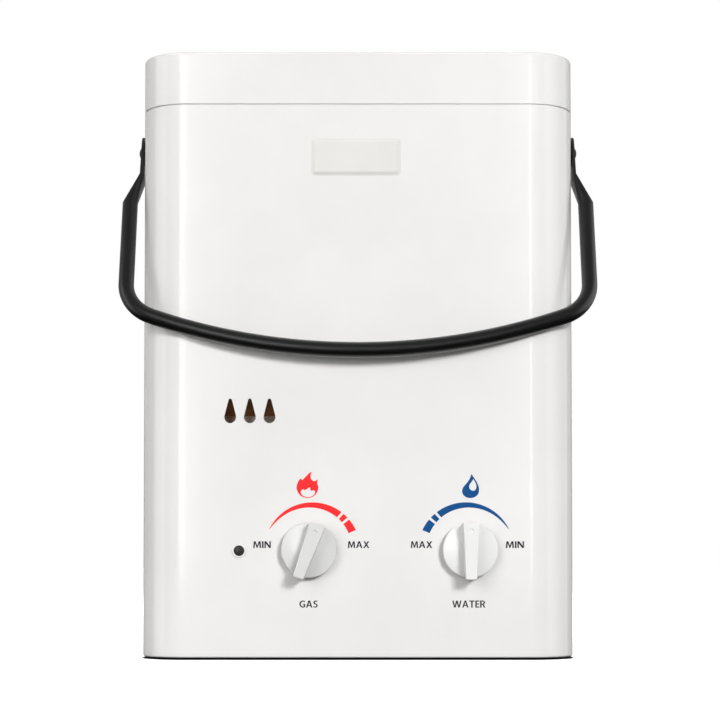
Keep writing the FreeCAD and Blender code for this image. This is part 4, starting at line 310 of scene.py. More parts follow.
@dataclass(frozen=True)
class Opening:
    """Hole in a sheet: the outline round two circles, one straight above the other.

    Attributes:
        INNER_GROW: Growth of the loop where the inner face starts.
        LOW_STEPS: Points on the lower arc.
        TIP_STEPS: Points on the upper arc.
        x: Place of the lower circle's middle across the sheet.
        y: Place of the lower circle's middle up the sheet.
        low_r: Radius of the lower circle.
        tip_r: Radius of the upper circle.
        rise: Distance between the two middles; 0 gives a round hole.
        roll: Radius of the pressed edge.
    """

    INNER_GROW = 0.2
    LOW_STEPS = 20
    TIP_STEPS = 14
    x: float
    y: float
    low_r: float
    tip_r: float
    rise: float = 0.0
    roll: float = 0.3

    def outline(self, grow: float) -> np.ndarray:
        """Lower arc, then upper arc, joined by their tangents.

        Args:
            grow: Distance by which both circles are enlarged.

        Returns:
            The loop's points.
        """
        slope = np.arcsin((self.low_r - self.tip_r) / self.rise) if self.rise else 0.0
        ends = self.rise > 0
        low = np.linspace(np.pi - slope, 2 * np.pi + slope, self.LOW_STEPS, endpoint=ends)
        tip = np.linspace(slope, np.pi - slope, self.TIP_STEPS, endpoint=ends)
        lower = (self.low_r + grow) * np.stack([np.cos(low), np.sin(low)], axis=-1)
        upper = (self.tip_r + grow) * np.stack([np.cos(tip), np.sin(tip)], axis=-1)
        return np.vstack([lower, upper + [0, self.rise]]) + [self.x, self.y]

    @property
    def outer_grow(self) -> float:
        """Growth of the loop where the outer face starts."""
        return 2 * self.roll

    def edge(self, thickness: float) -> Surface:
        """Rolled edge: a flat ring, a quarter round down into the hole, and the cut wall below.

        Args:
            thickness: Thickness of the sheet.

        Returns:
            The surface, with the sheet's outer face at height 0.
        """
        turn = np.linspace(0, np.pi / 2, 5)
        grow = [self.outer_grow, *(self.roll * (1 - np.sin(turn))), 0, self.INNER_GROW]
        drop = [0, *(self.roll * (1 - np.cos(turn))), thickness, thickness]
        rows = [lifted(self.outline(g), -d) for g, d in zip(grow, drop)]
        return grid(np.array(rows), wrap=True)


def pierced_sheet(outline: np.ndarray, openings: list[Opening], thickness: float) -> Surface:
    """Flat sheet with openings: its two faces and the openings' edges.

    Args:
        outline: Outer loop of both faces.
        openings: The holes.
        thickness: Distance between the faces.

    Returns:
        The surface, with its outer face at height 0.
    """
    outer = flat_panel(outline, [hole.outline(hole.outer_grow) for hole in openings], 0)
    inner = flat_panel(outline, [hole.outline(hole.INNER_GROW) for hole in openings], -thickness)
    return joined([outer, inner, *(hole.edge(thickness) for hole in openings)])


# ---------------------------------------------------------------- finishes

class Pattern(Enum):
    """How the two tones of a finish are spread over a surface."""

    CLOUD = "slow, soft drift"
    GRAIN = "fine, even grain"
    SPANGLE = "crystals with straight edges"
    BRUSHED = "fine lines along one direction"


def linear_rgba(code: str) -> tuple[float, float, float, float]:
    """Linear colour from an sRGB hex code such as #F2F1EF.

    Args:
        code: The hex code.

    Returns:
        Red, green, blue and 1.
    """
    channels = np.array([int(code[i:i + 2], 16) for i in (1, 3, 5)]) / 255
    linear = np.where(channels <= 0.04045, channels / 12.92, ((channels + 0.055) / 1.055) ** 2.4)
    return float(linear[0]), float(linear[1]), float(linear[2]), 1.0


def empty_tree(owner: bpy.types.Material | bpy.types.World) -> bpy.types.NodeTree:
    """Node tree of a material or a world, switched on and cleared.

    Args:
        owner: The material or world.

    Returns:
        Its tree.
    """
    owner.use_nodes = True
    owner.node_tree.nodes.clear()
    return owner.node_tree


def show(item: bpy.types.Object) -> None:
    """Put an object in the scene."""
    bpy.context.scene.collection.objects.link(item)


def add_node(tree: bpy.types.NodeTree, kind: str, settings: Settings | None = None,
             inputs: Settings | None = None) -> bpy.types.Node:
    """Add one node to a tree.

    Args:
        tree: The tree that gets the node.
        kind: The node's type, without the leading ShaderNode.
        settings: Values of the node's own options.
        inputs: For each input socket, a value or the output socket that feeds it.

    Returns:
        The node.
    """
    node = tree.nodes.new("ShaderNode" + kind)
    for name, value in (settings or {}).items():
        setattr(node, name, value)
    for name, value in (inputs or {}).items():
        socket = node.inputs[name]
        if isinstance(value, bpy.types.NodeSocket):
            tree.links.new(value, socket)
        else:
            socket.default_value = value
    return node


@dataclass(frozen=True)
class Finish:
    """One real material with one real surface treatment.

    Attributes:
        name: Material and process.
        light: Its lighter tone, sRGB hex.
        dark: Its darker tone, sRGB hex.
        pattern: How the tones are spread.
        size: Size of the pattern in millimetres.
        rough: Roughness in the light tone and in the dark tone.
        metallic: 1 for a bare metal, 0 otherwise.
        bump: Height of the surface's grain in millimetres.
        bump_size: Width of the surface's grain in millimetres.
        along: Stretch of the pattern along x, y, z; only the lines of a brushed finish use it.
        coat: Weight of a clear glossy layer on top.
        coat_rough: Roughness of that layer.
        transmission: 1 for a clear piece.
        alpha: Share of a thin sheet that hides what is behind it.
        ior: Index of refraction of anything but a metal.
        NOISE_ROUGHNESS: How much the finer layers of the pattern add.
        NOISE_SPAN: Noise values where the light tone ends and the dark one starts.
    """

    NOISE_ROUGHNESS = 0.55
    NOISE_SPAN = (0.32, 0.68)
    name: str
    light: str
    dark: str
    pattern: Pattern = Pattern.CLOUD
    size: float = 20.0
    rough: tuple[float, float] = (0.4, 0.5)
    metallic: float = 0.0
    bump: float = 0.01
    bump_size: float = 1.0
    along: tuple[float, float, float] = (1.0, 1.0, 1.0)
    coat: float = 0.0
    coat_rough: float = 0.06
    transmission: float = 0.0
    alpha: float = 1.0
    ior: float = 1.5

    def material(self) -> bpy.types.Material:
        """The finish as a material, made once and then reused.

        Returns:
            The material.
        """
        made = bpy.data.materials.get(self.name)
        if made is None:
            made = bpy.data.materials.new(self.name)
            made.diffuse_color = linear_rgba(self.light)
            self.build(empty_tree(made))
        return made

    def spread(self, tree: bpy.types.NodeTree,
               place: bpy.types.NodeSocket) -> bpy.types.NodeSocket:
        """Add the pattern.

        Args:
            tree: The material's tree.
            place: Socket with the place on the piece.

        Returns:
            Socket that runs from 0 in the light tone to 1 in the dark one.
        """
        per_metre = 1 / (self.size * MM)
        if self.pattern is Pattern.SPANGLE:
            cells = add_node(tree, "TexVoronoi", inputs={
                "Vector": place, "Scale": per_metre, "Randomness": 1.0})
            grey = add_node(tree, "RGBToBW", inputs={"Color": cells.outputs["Color"]})
            return grey.outputs["Val"]
        detail = {Pattern.CLOUD: 3.0, Pattern.GRAIN: 1.0, Pattern.BRUSHED: 4.0}[self.pattern]
        noise = add_node(tree, "TexNoise", inputs={
            "Vector": place, "Scale": per_metre, "Detail": detail,
            "Roughness": self.NOISE_ROUGHNESS})
        low, high = self.NOISE_SPAN
        share = add_node(tree, "MapRange", inputs={
            "Value": noise.outputs["Fac"], "From Min": low, "From Max": high})
        return share.outputs["Result"]

    def build(self, tree: bpy.types.NodeTree) -> None:
        """Fill the tree: the pattern sets tone and roughness, a finer grain sets the bump.

        Args:
            tree: The material's tree.
        """
        place = add_node(tree, "TexCoord")
        stretched = add_node(tree, "Mapping", inputs={
            "Vector": place.outputs["Object"], "Scale": self.along})
        spread = self.spread(tree, stretched.outputs["Vector"])
        tone = add_node(tree, "Mix", {"data_type": "RGBA"}, {
            "Factor": spread, "A": linear_rgba(self.light), "B": linear_rgba(self.dark)})
        rough = add_node(tree, "MapRange", inputs={
            "Value": spread, "To Min": self.rough[0], "To Max": self.rough[1]})
        grain = add_node(tree, "TexNoise", inputs={
            "Vector": stretched.outputs["Vector"], "Scale": 1 / (self.bump_size * MM),
            "Detail": 2.0})
        bump = add_node(tree, "Bump", inputs={
            "Height": grain.outputs["Fac"], "Strength": 1.0, "Distance": self.bump * MM})
        shader = add_node(tree, "BsdfPrincipled", inputs={
            "Base Color": tone.outputs["Result"], "Roughness": rough.outputs["Result"],
            "Normal": bump.outputs["Normal"], "Metallic": self.metallic, "IOR": self.ior,
            "Coat Weight": self.coat, "Coat Roughness": self.coat_rough,
            "Transmission Weight": self.transmission, "Alpha": self.alpha})
        add_node(tree, "OutputMaterial", inputs={"Surface": shader.outputs["BSDF"]})


# Baked enamel on steel sheet: warm white, smooth and glossy, with a faint orange peel 1.5 mm wide.
WHITE_ENAMEL = Finish(
    "enamelled_steel_white", "#EFEEEC", "#E9E8E6", size=90, rough=(0.12, 0.16), bump=0.004,
    bump_size=1.6, coat=0.25)
# Moulded ABS: a clean white, a little less glossy than the enamel, with very faint flow marks.
WHITE_ABS = Finish(
    "moulded_abs_white", "#EEEEEC", "#EBEBE9", size=40, rough=(0.22, 0.26), bump=0.002,
    bump_size=0.7, ior=1.54)
# The gas knob: the same white moulding and gloss, with painted shade that makes it slightly greyer.
SHADED_WHITE_ABS = replace(WHITE_ABS, name="moulded_abs_white_painted_shade", light="#DEDEDC", dark="#DBDBD9")
# Plaque moulding: satin, so that it takes the light evenly.
PLAQUE_ABS = Finish(
    "satin_moulded_abs_plaque", "#E5E4E1", "#E1E0DD", size=30, rough=(0.2, 0.26), bump=0.003,
    bump_size=0.5, ior=1.54)
# Lacquer on bent steel tube: near black, satin, with long soft highlights.
BLACK_LACQUER = Finish(
    "lacquered_steel_black", "#0C0C0D", "#070708", size=40, rough=(0.36, 0.42), bump=0.003,
    bump_size=2.0, coat=0.6, coat_rough=0.36)
# Powder coat on the back plate: mid grey with the pebbled skin of baked powder, grain near 1 mm.
GREY_POWDER = Finish(
    "powder_coated_steel_grey", "#B9BBBC", "#A9ABAD", Pattern.GRAIN, size=1.4, rough=(0.42, 0.52),
    bump=0.03, bump_size=1.0)
# Hot-dipped zinc on sheet: grey spangle crystals 8 mm across, each with its own gloss.
GALVANISED = Finish(
    "hot_dip_galvanised_steel", "#B7BCC0", "#8C9297", Pattern.SPANGLE, size=8, rough=(0.3, 0.5),
    metallic=1, bump=0.01, bump_size=3.0)
# Bright zinc plating: a thin, slightly blue metal skin.
ZINC = Finish(
    "zinc_plated_steel", "#C9CDD2", "#AEB4BB", size=3, rough=(0.25, 0.36), metallic=1, bump=0.004,
    bump_size=0.6)
# Black zinc plating: dark, faintly blue and satin.
BLACK_ZINC = Finish(
    "black_zinc_plated_steel", "#2A2B2E", "#1C1D20", size=3, rough=(0.3, 0.4), metallic=1,
    bump=0.004, bump_size=0.6)
# Rolled stainless steel in the burner, brushed along the bars. Heat has taken its shine, so that it
# is a matt pale grey with hardly any mirroring left.
STAINLESS = Finish(
    "heat_dulled_stainless_steel", "#DAD8D4", "#B4B1AC", Pattern.BRUSHED, size=2.5,
    rough=(0.42, 0.55), metallic=0.15, bump=0.008, bump_size=0.4, along=(1.0, 0.1, 1.0))
# Hardened strip and wire: bright grey with fine drawing lines.
SPRING_STEEL = Finish(
    "drawn_spring_steel", "#A3A5A8", "#85888C", Pattern.BRUSHED, size=1.5, rough=(0.28, 0.38),
    metallic=1, bump=0.003, bump_size=0.3, along=(0.2, 1.0, 1.0))
# Copper sheet and tube after brazing: bright rose patches in a browner skin.
COPPER = Finish(
    "brazed_copper", "#C9825C", "#8E5236", size=26, rough=(0.26, 0.46), metallic=1, bump=0.01,
    bump_size=2.0)
# Copper sheet of the chamber, which the flames have turned dark brown and dull: its oxide skin
# hides nearly all of the metal's mirroring.
BURNT_COPPER = Finish(
    "flame_darkened_copper", "#9E5834", "#723E24", size=6, rough=(0.42, 0.58), metallic=0.2,
    bump=0.012, bump_size=1.5)
# Turned and forged brass: yellow, with fine tool marks across the axis.
BRASS = Finish(
    "machined_brass", "#D0B06A", "#A98B4C", Pattern.BRUSHED, size=3, rough=(0.22, 0.36), metallic=1,
    bump=0.006, bump_size=0.5, along=(0.15, 0.15, 1.0))
# Die-cast aluminium: pale grey with a dull, slightly pitted skin.
CAST_ALUMINIUM = Finish(
    "die_cast_aluminium", "#B5B7B8", "#98999B", Pattern.GRAIN, size=1.2, rough=(0.42, 0.58),
    metallic=1, bump=0.02, bump_size=0.8)
# Split mica: a thin clear sheet with a brown cast and cloudy layers.
MICA = Finish(
    "split_mica_sheet", "#90603A", "#7C5030", size=9, rough=(0.05, 0.1), bump=0.004, bump_size=4.0,
    alpha=0.085, ior=1.58)
# Moulded smoked lens: nearly black and satin over the lamp, lit from behind only when it works.
SMOKED_LENS = Finish(
    "moulded_acrylic_smoked", "#353433", "#2B2B2A", size=3, rough=(0.28, 0.34), bump=0.002,
    bump_size=0.8, transmission=0.1, ior=1.49)
# Moulded black plastic of boxes and holders: fine spark-eroded grain 0.6 mm across.
BLACK_PLASTIC = Finish(
    "moulded_polyamide_black", "#1E1E20", "#161618", Pattern.GRAIN, size=0.8, rough=(0.42, 0.52),
    bump=0.012, bump_size=0.6)
# Moulded rubber feet and diaphragm: matt, almost black.
RUBBER = Finish(
    "moulded_rubber_black", "#1B1B1B", "#121212", Pattern.GRAIN, size=1.5, rough=(0.65, 0.78),
    bump=0.015, bump_size=0.9)
# Glazed ceramic sleeves: ivory white with a wet gloss.
CERAMIC = Finish(
    "glazed_ceramic_white", "#EFEAE0", "#E2DCCF", size=5, rough=(0.12, 0.2), bump=0.004,
    bump_size=1.5, coat=0.5)
# Silicone-covered ignition lead: soft, slightly dusty red.
SILICONE = Finish(
    "extruded_silicone_red", "#A8281F", "#8C1F18", Pattern.GRAIN, size=2, rough=(0.5, 0.6),
    bump=0.008, bump_size=0.8, ior=1.43)
# Plastic jacket shrunk on the cells: plain, dark, glossy.
CELL_JACKET = Finish(
    "shrunk_film_cell_jacket", "#3A4A58", "#2E3B47", size=12, rough=(0.2, 0.3), bump=0.006,
    bump_size=3.0)
# Screen-printed inks: flat, dense films with a faint screen texture.
RED_INK = Finish(
    "screen_printed_ink_red", "#FA2A2E", "#F32529", Pattern.GRAIN, size=0.9, rough=(0.48, 0.54),
    bump=0.001, bump_size=0.4, ior=1.35)
BLUE_INK = replace(RED_INK, name="screen_printed_ink_blue", light="#004F8E", dark="#004884")
DARK_INK = replace(RED_INK, name="screen_printed_ink_dark", light="#2A2A2C", dark="#232326",
                   rough=(0.5, 0.56))


# ---------------------------------------------------------------- pieces

MERGE_DISTANCE = 0.003


def make_piece(name: str, surface: Surface, finish: Finish, body: str = "casing",
               replaces: tuple[str, ...] = (), sharp: float = 32.0) -> bpy.types.Object:
    """Turn a surface into an object that rides on a body.

    Doubles are merged, so that seams and poles close, and the faces then point outwards.

    Args:
        name: The object's name.
        surface: Its shape.
        finish: Its material.
        body: The body that it moves with.
        replaces: The solid parts that it stands for.
        sharp: Edges that bend by more than this many degrees stay crisp.

    Returns:
        The object.
    """
    mesh = bpy.data.meshes.new(name)
    mesh.from_pydata((surface.points * MM).tolist(), [], surface.faces)
    work = bmesh.new()
    work.from_mesh(mesh)
    bmesh.ops.remove_doubles(work, verts=work.verts, dist=MERGE_DISTANCE * MM)
    bmesh.ops.recalc_face_normals(work, faces=work.faces)
    work.to_mesh(mesh)
    work.free()
    mesh.shade_smooth()
    mesh.set_sharp_from_angle(angle=np.radians(sharp))
    mesh.materials.append(finish.material())
    piece = bpy.data.objects.new(name, mesh)
    show(piece)
    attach(piece, body)
    if replaces:
        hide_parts(*replaces)
    LOG.info("%s: %d faces in %s", name, len(mesh.polygons), finish.name)
    return piece


@dataclass
class Casing:
    """Sheet casing: a cover bent from one sheet, a pressed cap over it, and rubber feet.

    Attributes:
        front_r: Outside radius of the two front upright corners.
        rear_r: Outside radius of the two rear upright corners.
        rear_flange: Width of the flanges at the rear edges.
        skirt_flange: Width of the flange at the lower edge.
        bottom: Height of the cover's lower edge.
        cover_top: Height of the cover's upper edge.
        seam: Height of the cap's lower edge.
        top: Height of the cap's top.
        bend: Radius of the bent edges.
        cap_edge: Radius of the cap's upper edge.
        lip_drop: Reach of the cap's lip down inside the cover.
        lip_rise: Reach of the lip up inside the cap.
        lip_gap: Room between the sheet and the lip inside it.
        support: Distance from an edge at which a flat face starts.
        broken: Width of the small bevel along a cut edge.
        beside_cut: Distance from a cut edge at which a flat face starts.
        sight_x: Places of the three sight holes.
        sight: Height, lower radius, upper radius, rise and rolled edge of a sight hole.
        lamp_hole: Place, height and radius of the lamp's hole.
        spindle_hole_r: Radius of the knobs' holes.
        foot_r: Radius of the feet.
        foot_edge: Rounding of the feet.
        foot_inset: Distance of the front feet, and of the rear feet, from the walls beside them.
        slots: Number of exhaust slots in the cap.
        slot_pitch: Distance between two slots.
        slot_width: Width of a slot.
        slot_length: Length of a slot.
        slot_roll: Rolled edge of a slot.
        REAR_STEPS: Points on the arc of a rear corner.
        FRONT_STEPS: Points on the arc of a front corner.
    """

    REAR_STEPS = 9
    FRONT_STEPS = 29
    front_r: float = 32.0
    rear_r: float = 3.0
    rear_flange: float = 16.0
    skirt_flange: float = 13.0
    bottom: float = 1.5
    cover_top: float = 388.5
    seam: float = 389.3
    top: float = 426.0
    bend: float = 1.2
    cap_edge: float = 1.8
    lip_drop: float = 10.0
    lip_rise: float = 3.0
    lip_gap: float = 0.3
    support: float = 0.8
    broken: float = 0.25
    beside_cut: float = 1.0
    sight_x: tuple[float, ...] = (-89.1, -75.4, -61.7)
    sight: tuple[float, ...] = (168.9, 4.1, 1.2, 11.8, 0.45)
    lamp_hole: tuple[float, float, float] = (-82.7, 75.8, 4.7)
    spindle_hole_r: float = 9.0
    foot_r: float = 5.5
    foot_edge: float = 0.5
    foot_inset: tuple[float, float] = (13.97, 7.0)
    slots: int = 17
    slot_pitch: float = 10.0
    slot_width: float = 5.0
    slot_length: float = 64.0
    slot_roll: float = 0.4

    def plan(self, inset: np.ndarray, open_rear: bool) -> np.ndarray:
        """Outline of the casing seen from above, for each inset.

        Every corner is an arc of radius max(R - inset, 0) about a middle that lies max(R, inset)
        inside both its walls, with one more point on each wall just beside it. The outline runs
        from the rear left corner round the front to the rear right one.

        Args:
            inset: Distances inside the outer face.
            open_rear: Whether it starts and ends at the edges of the rear flanges.

        Returns:
            Array of insets by points by x, y.
        """
        deep = np.asarray(inset, float)[:, None]
        parts = []
        for side, rear, start in ((-1, True, 90), (-1, False, 180), (1, False, 270), (1, True, 0)):
            radius = self.rear_r if rear else self.front_r
            steps = self.REAR_STEPS if rear else self.FRONT_STEPS
            middle_inset = np.maximum(radius, deep)
            middle_x = side * (HALF_WIDTH - middle_inset)
            middle_y = REAR_Y - middle_inset if rear else FRONT_Y + middle_inset
            arc = np.maximum(radius - deep, 0)
            angle = np.radians(start + np.linspace(0, 90, steps))[None]
            x = middle_x + arc * np.cos(angle)
            y = middle_y + arc * np.sin(angle)
            first, last = np.radians(start), np.radians(start + 90)
            x = np.hstack([x[:, :1] + self.support * np.sin(first), x,
                           x[:, -1:] - self.support * np.sin(last)])
            y = np.hstack([y[:, :1] - self.support * np.cos(first), y,
                           y[:, -1:] + self.support * np.cos(last)])
            parts.append(np.stack([x, y], axis=-1))
        if open_rear:
            edge = HALF_WIDTH - self.rear_flange
            ends = [np.stack([np.full_like(deep, side * edge), REAR_Y - deep], axis=-1)
                    for side in (-1, 1)]
            parts = [ends[0], *parts, ends[1]]
        return np.concatenate(parts, axis=1)

    def swept(self, profile: Pairs, open_rear: bool,
              skip: tuple[tuple[int, int], ...] = ()) -> Surface:
        """Profile carried along the plan.

        Args:
            profile: Inset and height of each of its points.
            open_rear: Whether the plan starts and ends at the rear flanges' edges.
            skip: Row and column of each face that is left out.

        Returns:
            The surface.
        """
        inset, height = np.array(profile, float).T
        plan = self.plan(inset, open_rear)
        lift = np.repeat(height[:, None, None], plan.shape[1], axis=1)
        return grid(np.concatenate([plan, lift], axis=-1), wrap=not open_rear, skip=skip)

    @property
    def front_column(self) -> int:
        """Number of the open plan's stretch that holds the flat front."""
        flange_edge, beside = 1, 2
        return flange_edge + (self.REAR_STEPS + beside) + (self.FRONT_STEPS + beside) - 1

    def cover_openings(self) -> list[Opening]:
        """Three teardrop sight holes, the lamp's hole and the spindles' holes.

        Returns:
            The holes, in x and z as seen from the front.
        """
        return ([Opening(x, *self.sight) for x in self.sight_x]
                + [Opening(*self.lamp_hole, self.lamp_hole[-1])]
                + [Opening(x, KNOB_Z, self.spindle_hole_r, self.spindle_hole_r)
                   for x in (GAS_X, WATER_X)])

    def cover(self) -> Surface:
        """Bent sheet: one closed profile swept round, and the flat front with holes.

        Returns:
            The cover in place.
        """
        low, high, bend, thick = self.bottom, self.cover_top, self.bend, SHEET
        cut, flat = self.broken, bend + self.support
        outer_low, outer_high = low + bend + self.support, high - self.beside_cut
        profile = [(self.skirt_flange, low + thick), (self.skirt_flange, low), (flat, low),
                   *arc_profile((bend, low + bend), -bend, 90, 0),
                   (0, outer_low), (0, outer_high), (0, high - cut), (cut, high),
                   (thick - cut, high), (thick, high - cut), (thick, outer_high),
                   (thick, outer_low), *arc_profile((bend, low + bend), -(bend - thick), 0, 90),
                   (flat, low + thick)]
        profile.append(profile[0])
        front = [(profile.index(row), self.front_column)
                 for row in ((0, outer_low), (thick, outer_high))]
        shell = self.swept(profile, True, tuple(front))
        half = HALF_WIDTH - self.front_r - self.support
        panel = pierced_sheet(np.array([(-half, outer_low), (half, outer_low),
                                        (half, outer_high), (-half, outer_high)]),
                              self.cover_openings(), thick)
        return (shell + self.flange_ends(profile)
                + panel.placed(Facing.FRONT.turn, (0, FRONT_Y, 0)))

    def flange_ends(self, profile: Pairs) -> Surface:
        """Cut edges of the sheet at the ends of the rear flanges.

        Args:
            profile: Closed profile of inset and height.

        Returns:
            One face on the left and one on the right.
        """
        edge = HALF_WIDTH - self.rear_flange
        inset, height = np.array(profile[:-1], float).T
        return joined(end_face(np.column_stack([np.full(len(inset), side * edge),
                                                REAR_Y - inset, height])) for side in (-1, 1))

    def cap_openings(self) -> list[Opening]:
        """Row of exhaust slots across the cap's top.

        Returns:
            The slots, in x and y as seen from above.
        """
        half = self.slot_width / 2
        rise = self.slot_length - self.slot_width
        first = -(self.slots - 1) / 2
        return [Opening((first + index) * self.slot_pitch, MIDDLE_Y - rise / 2, half, half, rise,
                        self.slot_roll) for index in range(self.slots)]

    def cap(self) -> Surface:
        """Pressed cap: wall, rounded upper edge and slotted top, with a lip inside the cover.

        Returns:
            The cap in place.
        """
        edge, thick, top, seam = self.cap_edge, SHEET, self.top, self.seam
        cut, flat, wall_top = self.broken, edge + self.support, top - edge - self.support
        profile = [(flat, top), *arc_profile((edge, top - edge), -edge, -90, 0), (0, wall_top),
                   (0, seam + self.beside_cut), (0, seam + cut), (cut, seam),
                   (thick - cut, seam), (thick, seam + cut), (thick, seam + self.beside_cut),
                   (thick, wall_top), *arc_profile((edge, top - edge), -(edge - thick), 0, -90),
                   (flat, top - thick)]
        panel = pierced_sheet(self.plan(np.array([flat]), False)[0], self.cap_openings(), thick)
        outer, inner = thick + self.lip_gap, 2 * thick + self.lip_gap
        lip_top, lip_foot = seam + self.lip_rise, seam - self.lip_drop
        lip = [(outer, lip_top), (outer, lip_foot), (inner, lip_foot), (inner, lip_top),
               (outer, lip_top)]
        return joined([self.swept(profile, False), panel.placed(Facing.UP.turn, (0, 0, top)),
                       self.swept(lip, True), self.flange_ends(lip)])

    def feet(self) -> Surface:
        """Four pads turned with a rounded lower edge.

        Returns:
            The pads in place.
        """
        edge = self.foot_edge
        pad = lathe([(0, 0), (self.foot_r - edge, 0),
                     *arc_profile((self.foot_r - edge, edge), edge, -90, 0, 5),
                     (self.foot_r, self.bottom), (0, self.bottom)], 40)
        front, rear = self.foot_inset
        return joined(pad.placed(Facing.UP.turn, (side * (HALF_WIDTH - inset), y, 0))
                      for side in (-1, 1)
                      for inset, y in ((front, FRONT_Y + front), (rear, REAR_Y - rear)))

    def dress(self) -> None:
        """Make the casing's pieces."""
        make_piece("cover_sheet", self.cover(), WHITE_ENAMEL,
                   replaces=("front_cover",))
        make_piece("cap_sheet", self.cap(), WHITE_ENAMEL,
                   replaces=("top_cap",))
        make_piece("foot_pads", self.feet(), RUBBER,
                   replaces=("rubber_feet",))


@dataclass
class Plaque:
    """Bare raised plaque with soft edges on the cover's upper middle.

    Attributes:
        width: Its width.
        height: Its height.
        thick: How far its face stands out from the cover.
        edge: Width of its soft edge.
        foot: Height at which the soft edge starts.
        face_inset: Distance inside the soft edge at which the flat face starts.
        corner_r: Radius of its corners.
        x: Place of its middle across the front.
        z: Height of its middle.
    """

    width: float = 62.9
    height: float = 26.2
    thick: float = 1.3
    edge: float = 3.0
    foot: float = 0.1
    face_inset: float = 0.1
    corner_r: float = 3.1
    x: float = -1.3
    z: float = 351.6

    def surface(self) -> Surface:
        """Rounded rectangle whose edge swells softly from the cover up to its flat face.

        At share t across the edge the height is foot + (thick - foot) (3 t^2 - 2 t^3).

        Returns:
            The plaque in place.
        """
        across, up = self.width / 2, self.height / 2
        points, normals = rounded_outline([(-across, -up), (across, -up), (across, up),
                                           (-across, up)], self.corner_r, steps=9)
        t = np.linspace(0, 1, 11)
        rise = (self.thick - self.foot) * (3 - 2 * t) * t ** 2
        swell = np.column_stack([-self.edge * t, self.foot + rise])
        rows = [(0, 0), *swell.tolist(), (-self.edge - self.face_inset, self.thick)]
        plate = raised_plate(points, normals, rows)
        return plate.placed(Facing.FRONT.turn, (self.x, FRONT_Y, self.z))

    def dress(self) -> None:
        """Make the plaque."""
        make_piece("plaque", self.surface(), PLAQUE_ABS,
                   replaces=("badge_plate",))


@dataclass
class Lamp:
    """Indicator lamp: a white ring round a low domed lens.

    Attributes:
        x: Place across the front.
        z: Height.
        ring_r: Radius of the ring.
        ring: How far the ring stands out from the cover.
        seat: Room between the ring's flange and the cover.
        flange: Height of the ring's straight outer wall.
        lens_r: Radius of the ring's bore.
        bevel: Width of the bevel round the bore.
        lens_fit: Room between the bore and the lens.
        lens_stem: Length of the lens behind the cover's face.
        barrel_r: Radius of the barrel through the cover.
        barrel: Length of the barrel.
        round_r: Rounding of the ring.
    """

    x: float = -82.7
    z: float = 75.8
    ring_r: float = 5.1
    ring: float = 1.2
    seat: float = 0.02
    flange: float = 0.3
    lens_r: float = 3.7
    bevel: float = 0.25
    lens_fit: float = 0.1
    lens_stem: float = 3.0
    barrel_r: float = 4.6
    barrel: float = 12.0
    round_r: float = 0.7

    def bezel(self) -> Surface:
        """Ring with a rounded rim and a bevel into its bore, on a barrel through the cover.

        Returns:
            The ring, with the cover's face at height 0.
        """
        round_at = (self.ring_r - self.round_r, self.ring - self.round_r)
        return lathe([(self.lens_r, -self.barrel), (self.barrel_r, -self.barrel),
                      (self.barrel_r, self.seat), (self.ring_r, self.seat),
                      (self.ring_r, self.flange), *arc_profile(round_at, self.round_r, 0, 90),
                      (self.lens_r + self.bevel, self.ring), (self.lens_r, self.ring - self.bevel),
                      (self.lens_r, -self.barrel)])

    def lens(self) -> Surface:
        """Lens: a low dome, half as high as the ring, over a short stem.

        Returns:
            The lens, with the cover's face at height 0.
        """
        radius, half = self.lens_r - self.lens_fit, self.ring / 2
        return lathe([(0, -self.lens_stem), (radius, -self.lens_stem),
                      *dome_profile(radius, half, half)])

    def dress(self) -> None:
        """Make the ring and the lens."""
        seat = (self.x, FRONT_Y, self.z)
        make_piece("lamp_ring", self.bezel().placed(Facing.FRONT.turn, seat), WHITE_ABS,
                   replaces=("lamp_bezel",))
        make_piece("lamp_dome", self.lens().placed(Facing.FRONT.turn, seat), SMOKED_LENS,
                   replaces=("lamp_lens",))


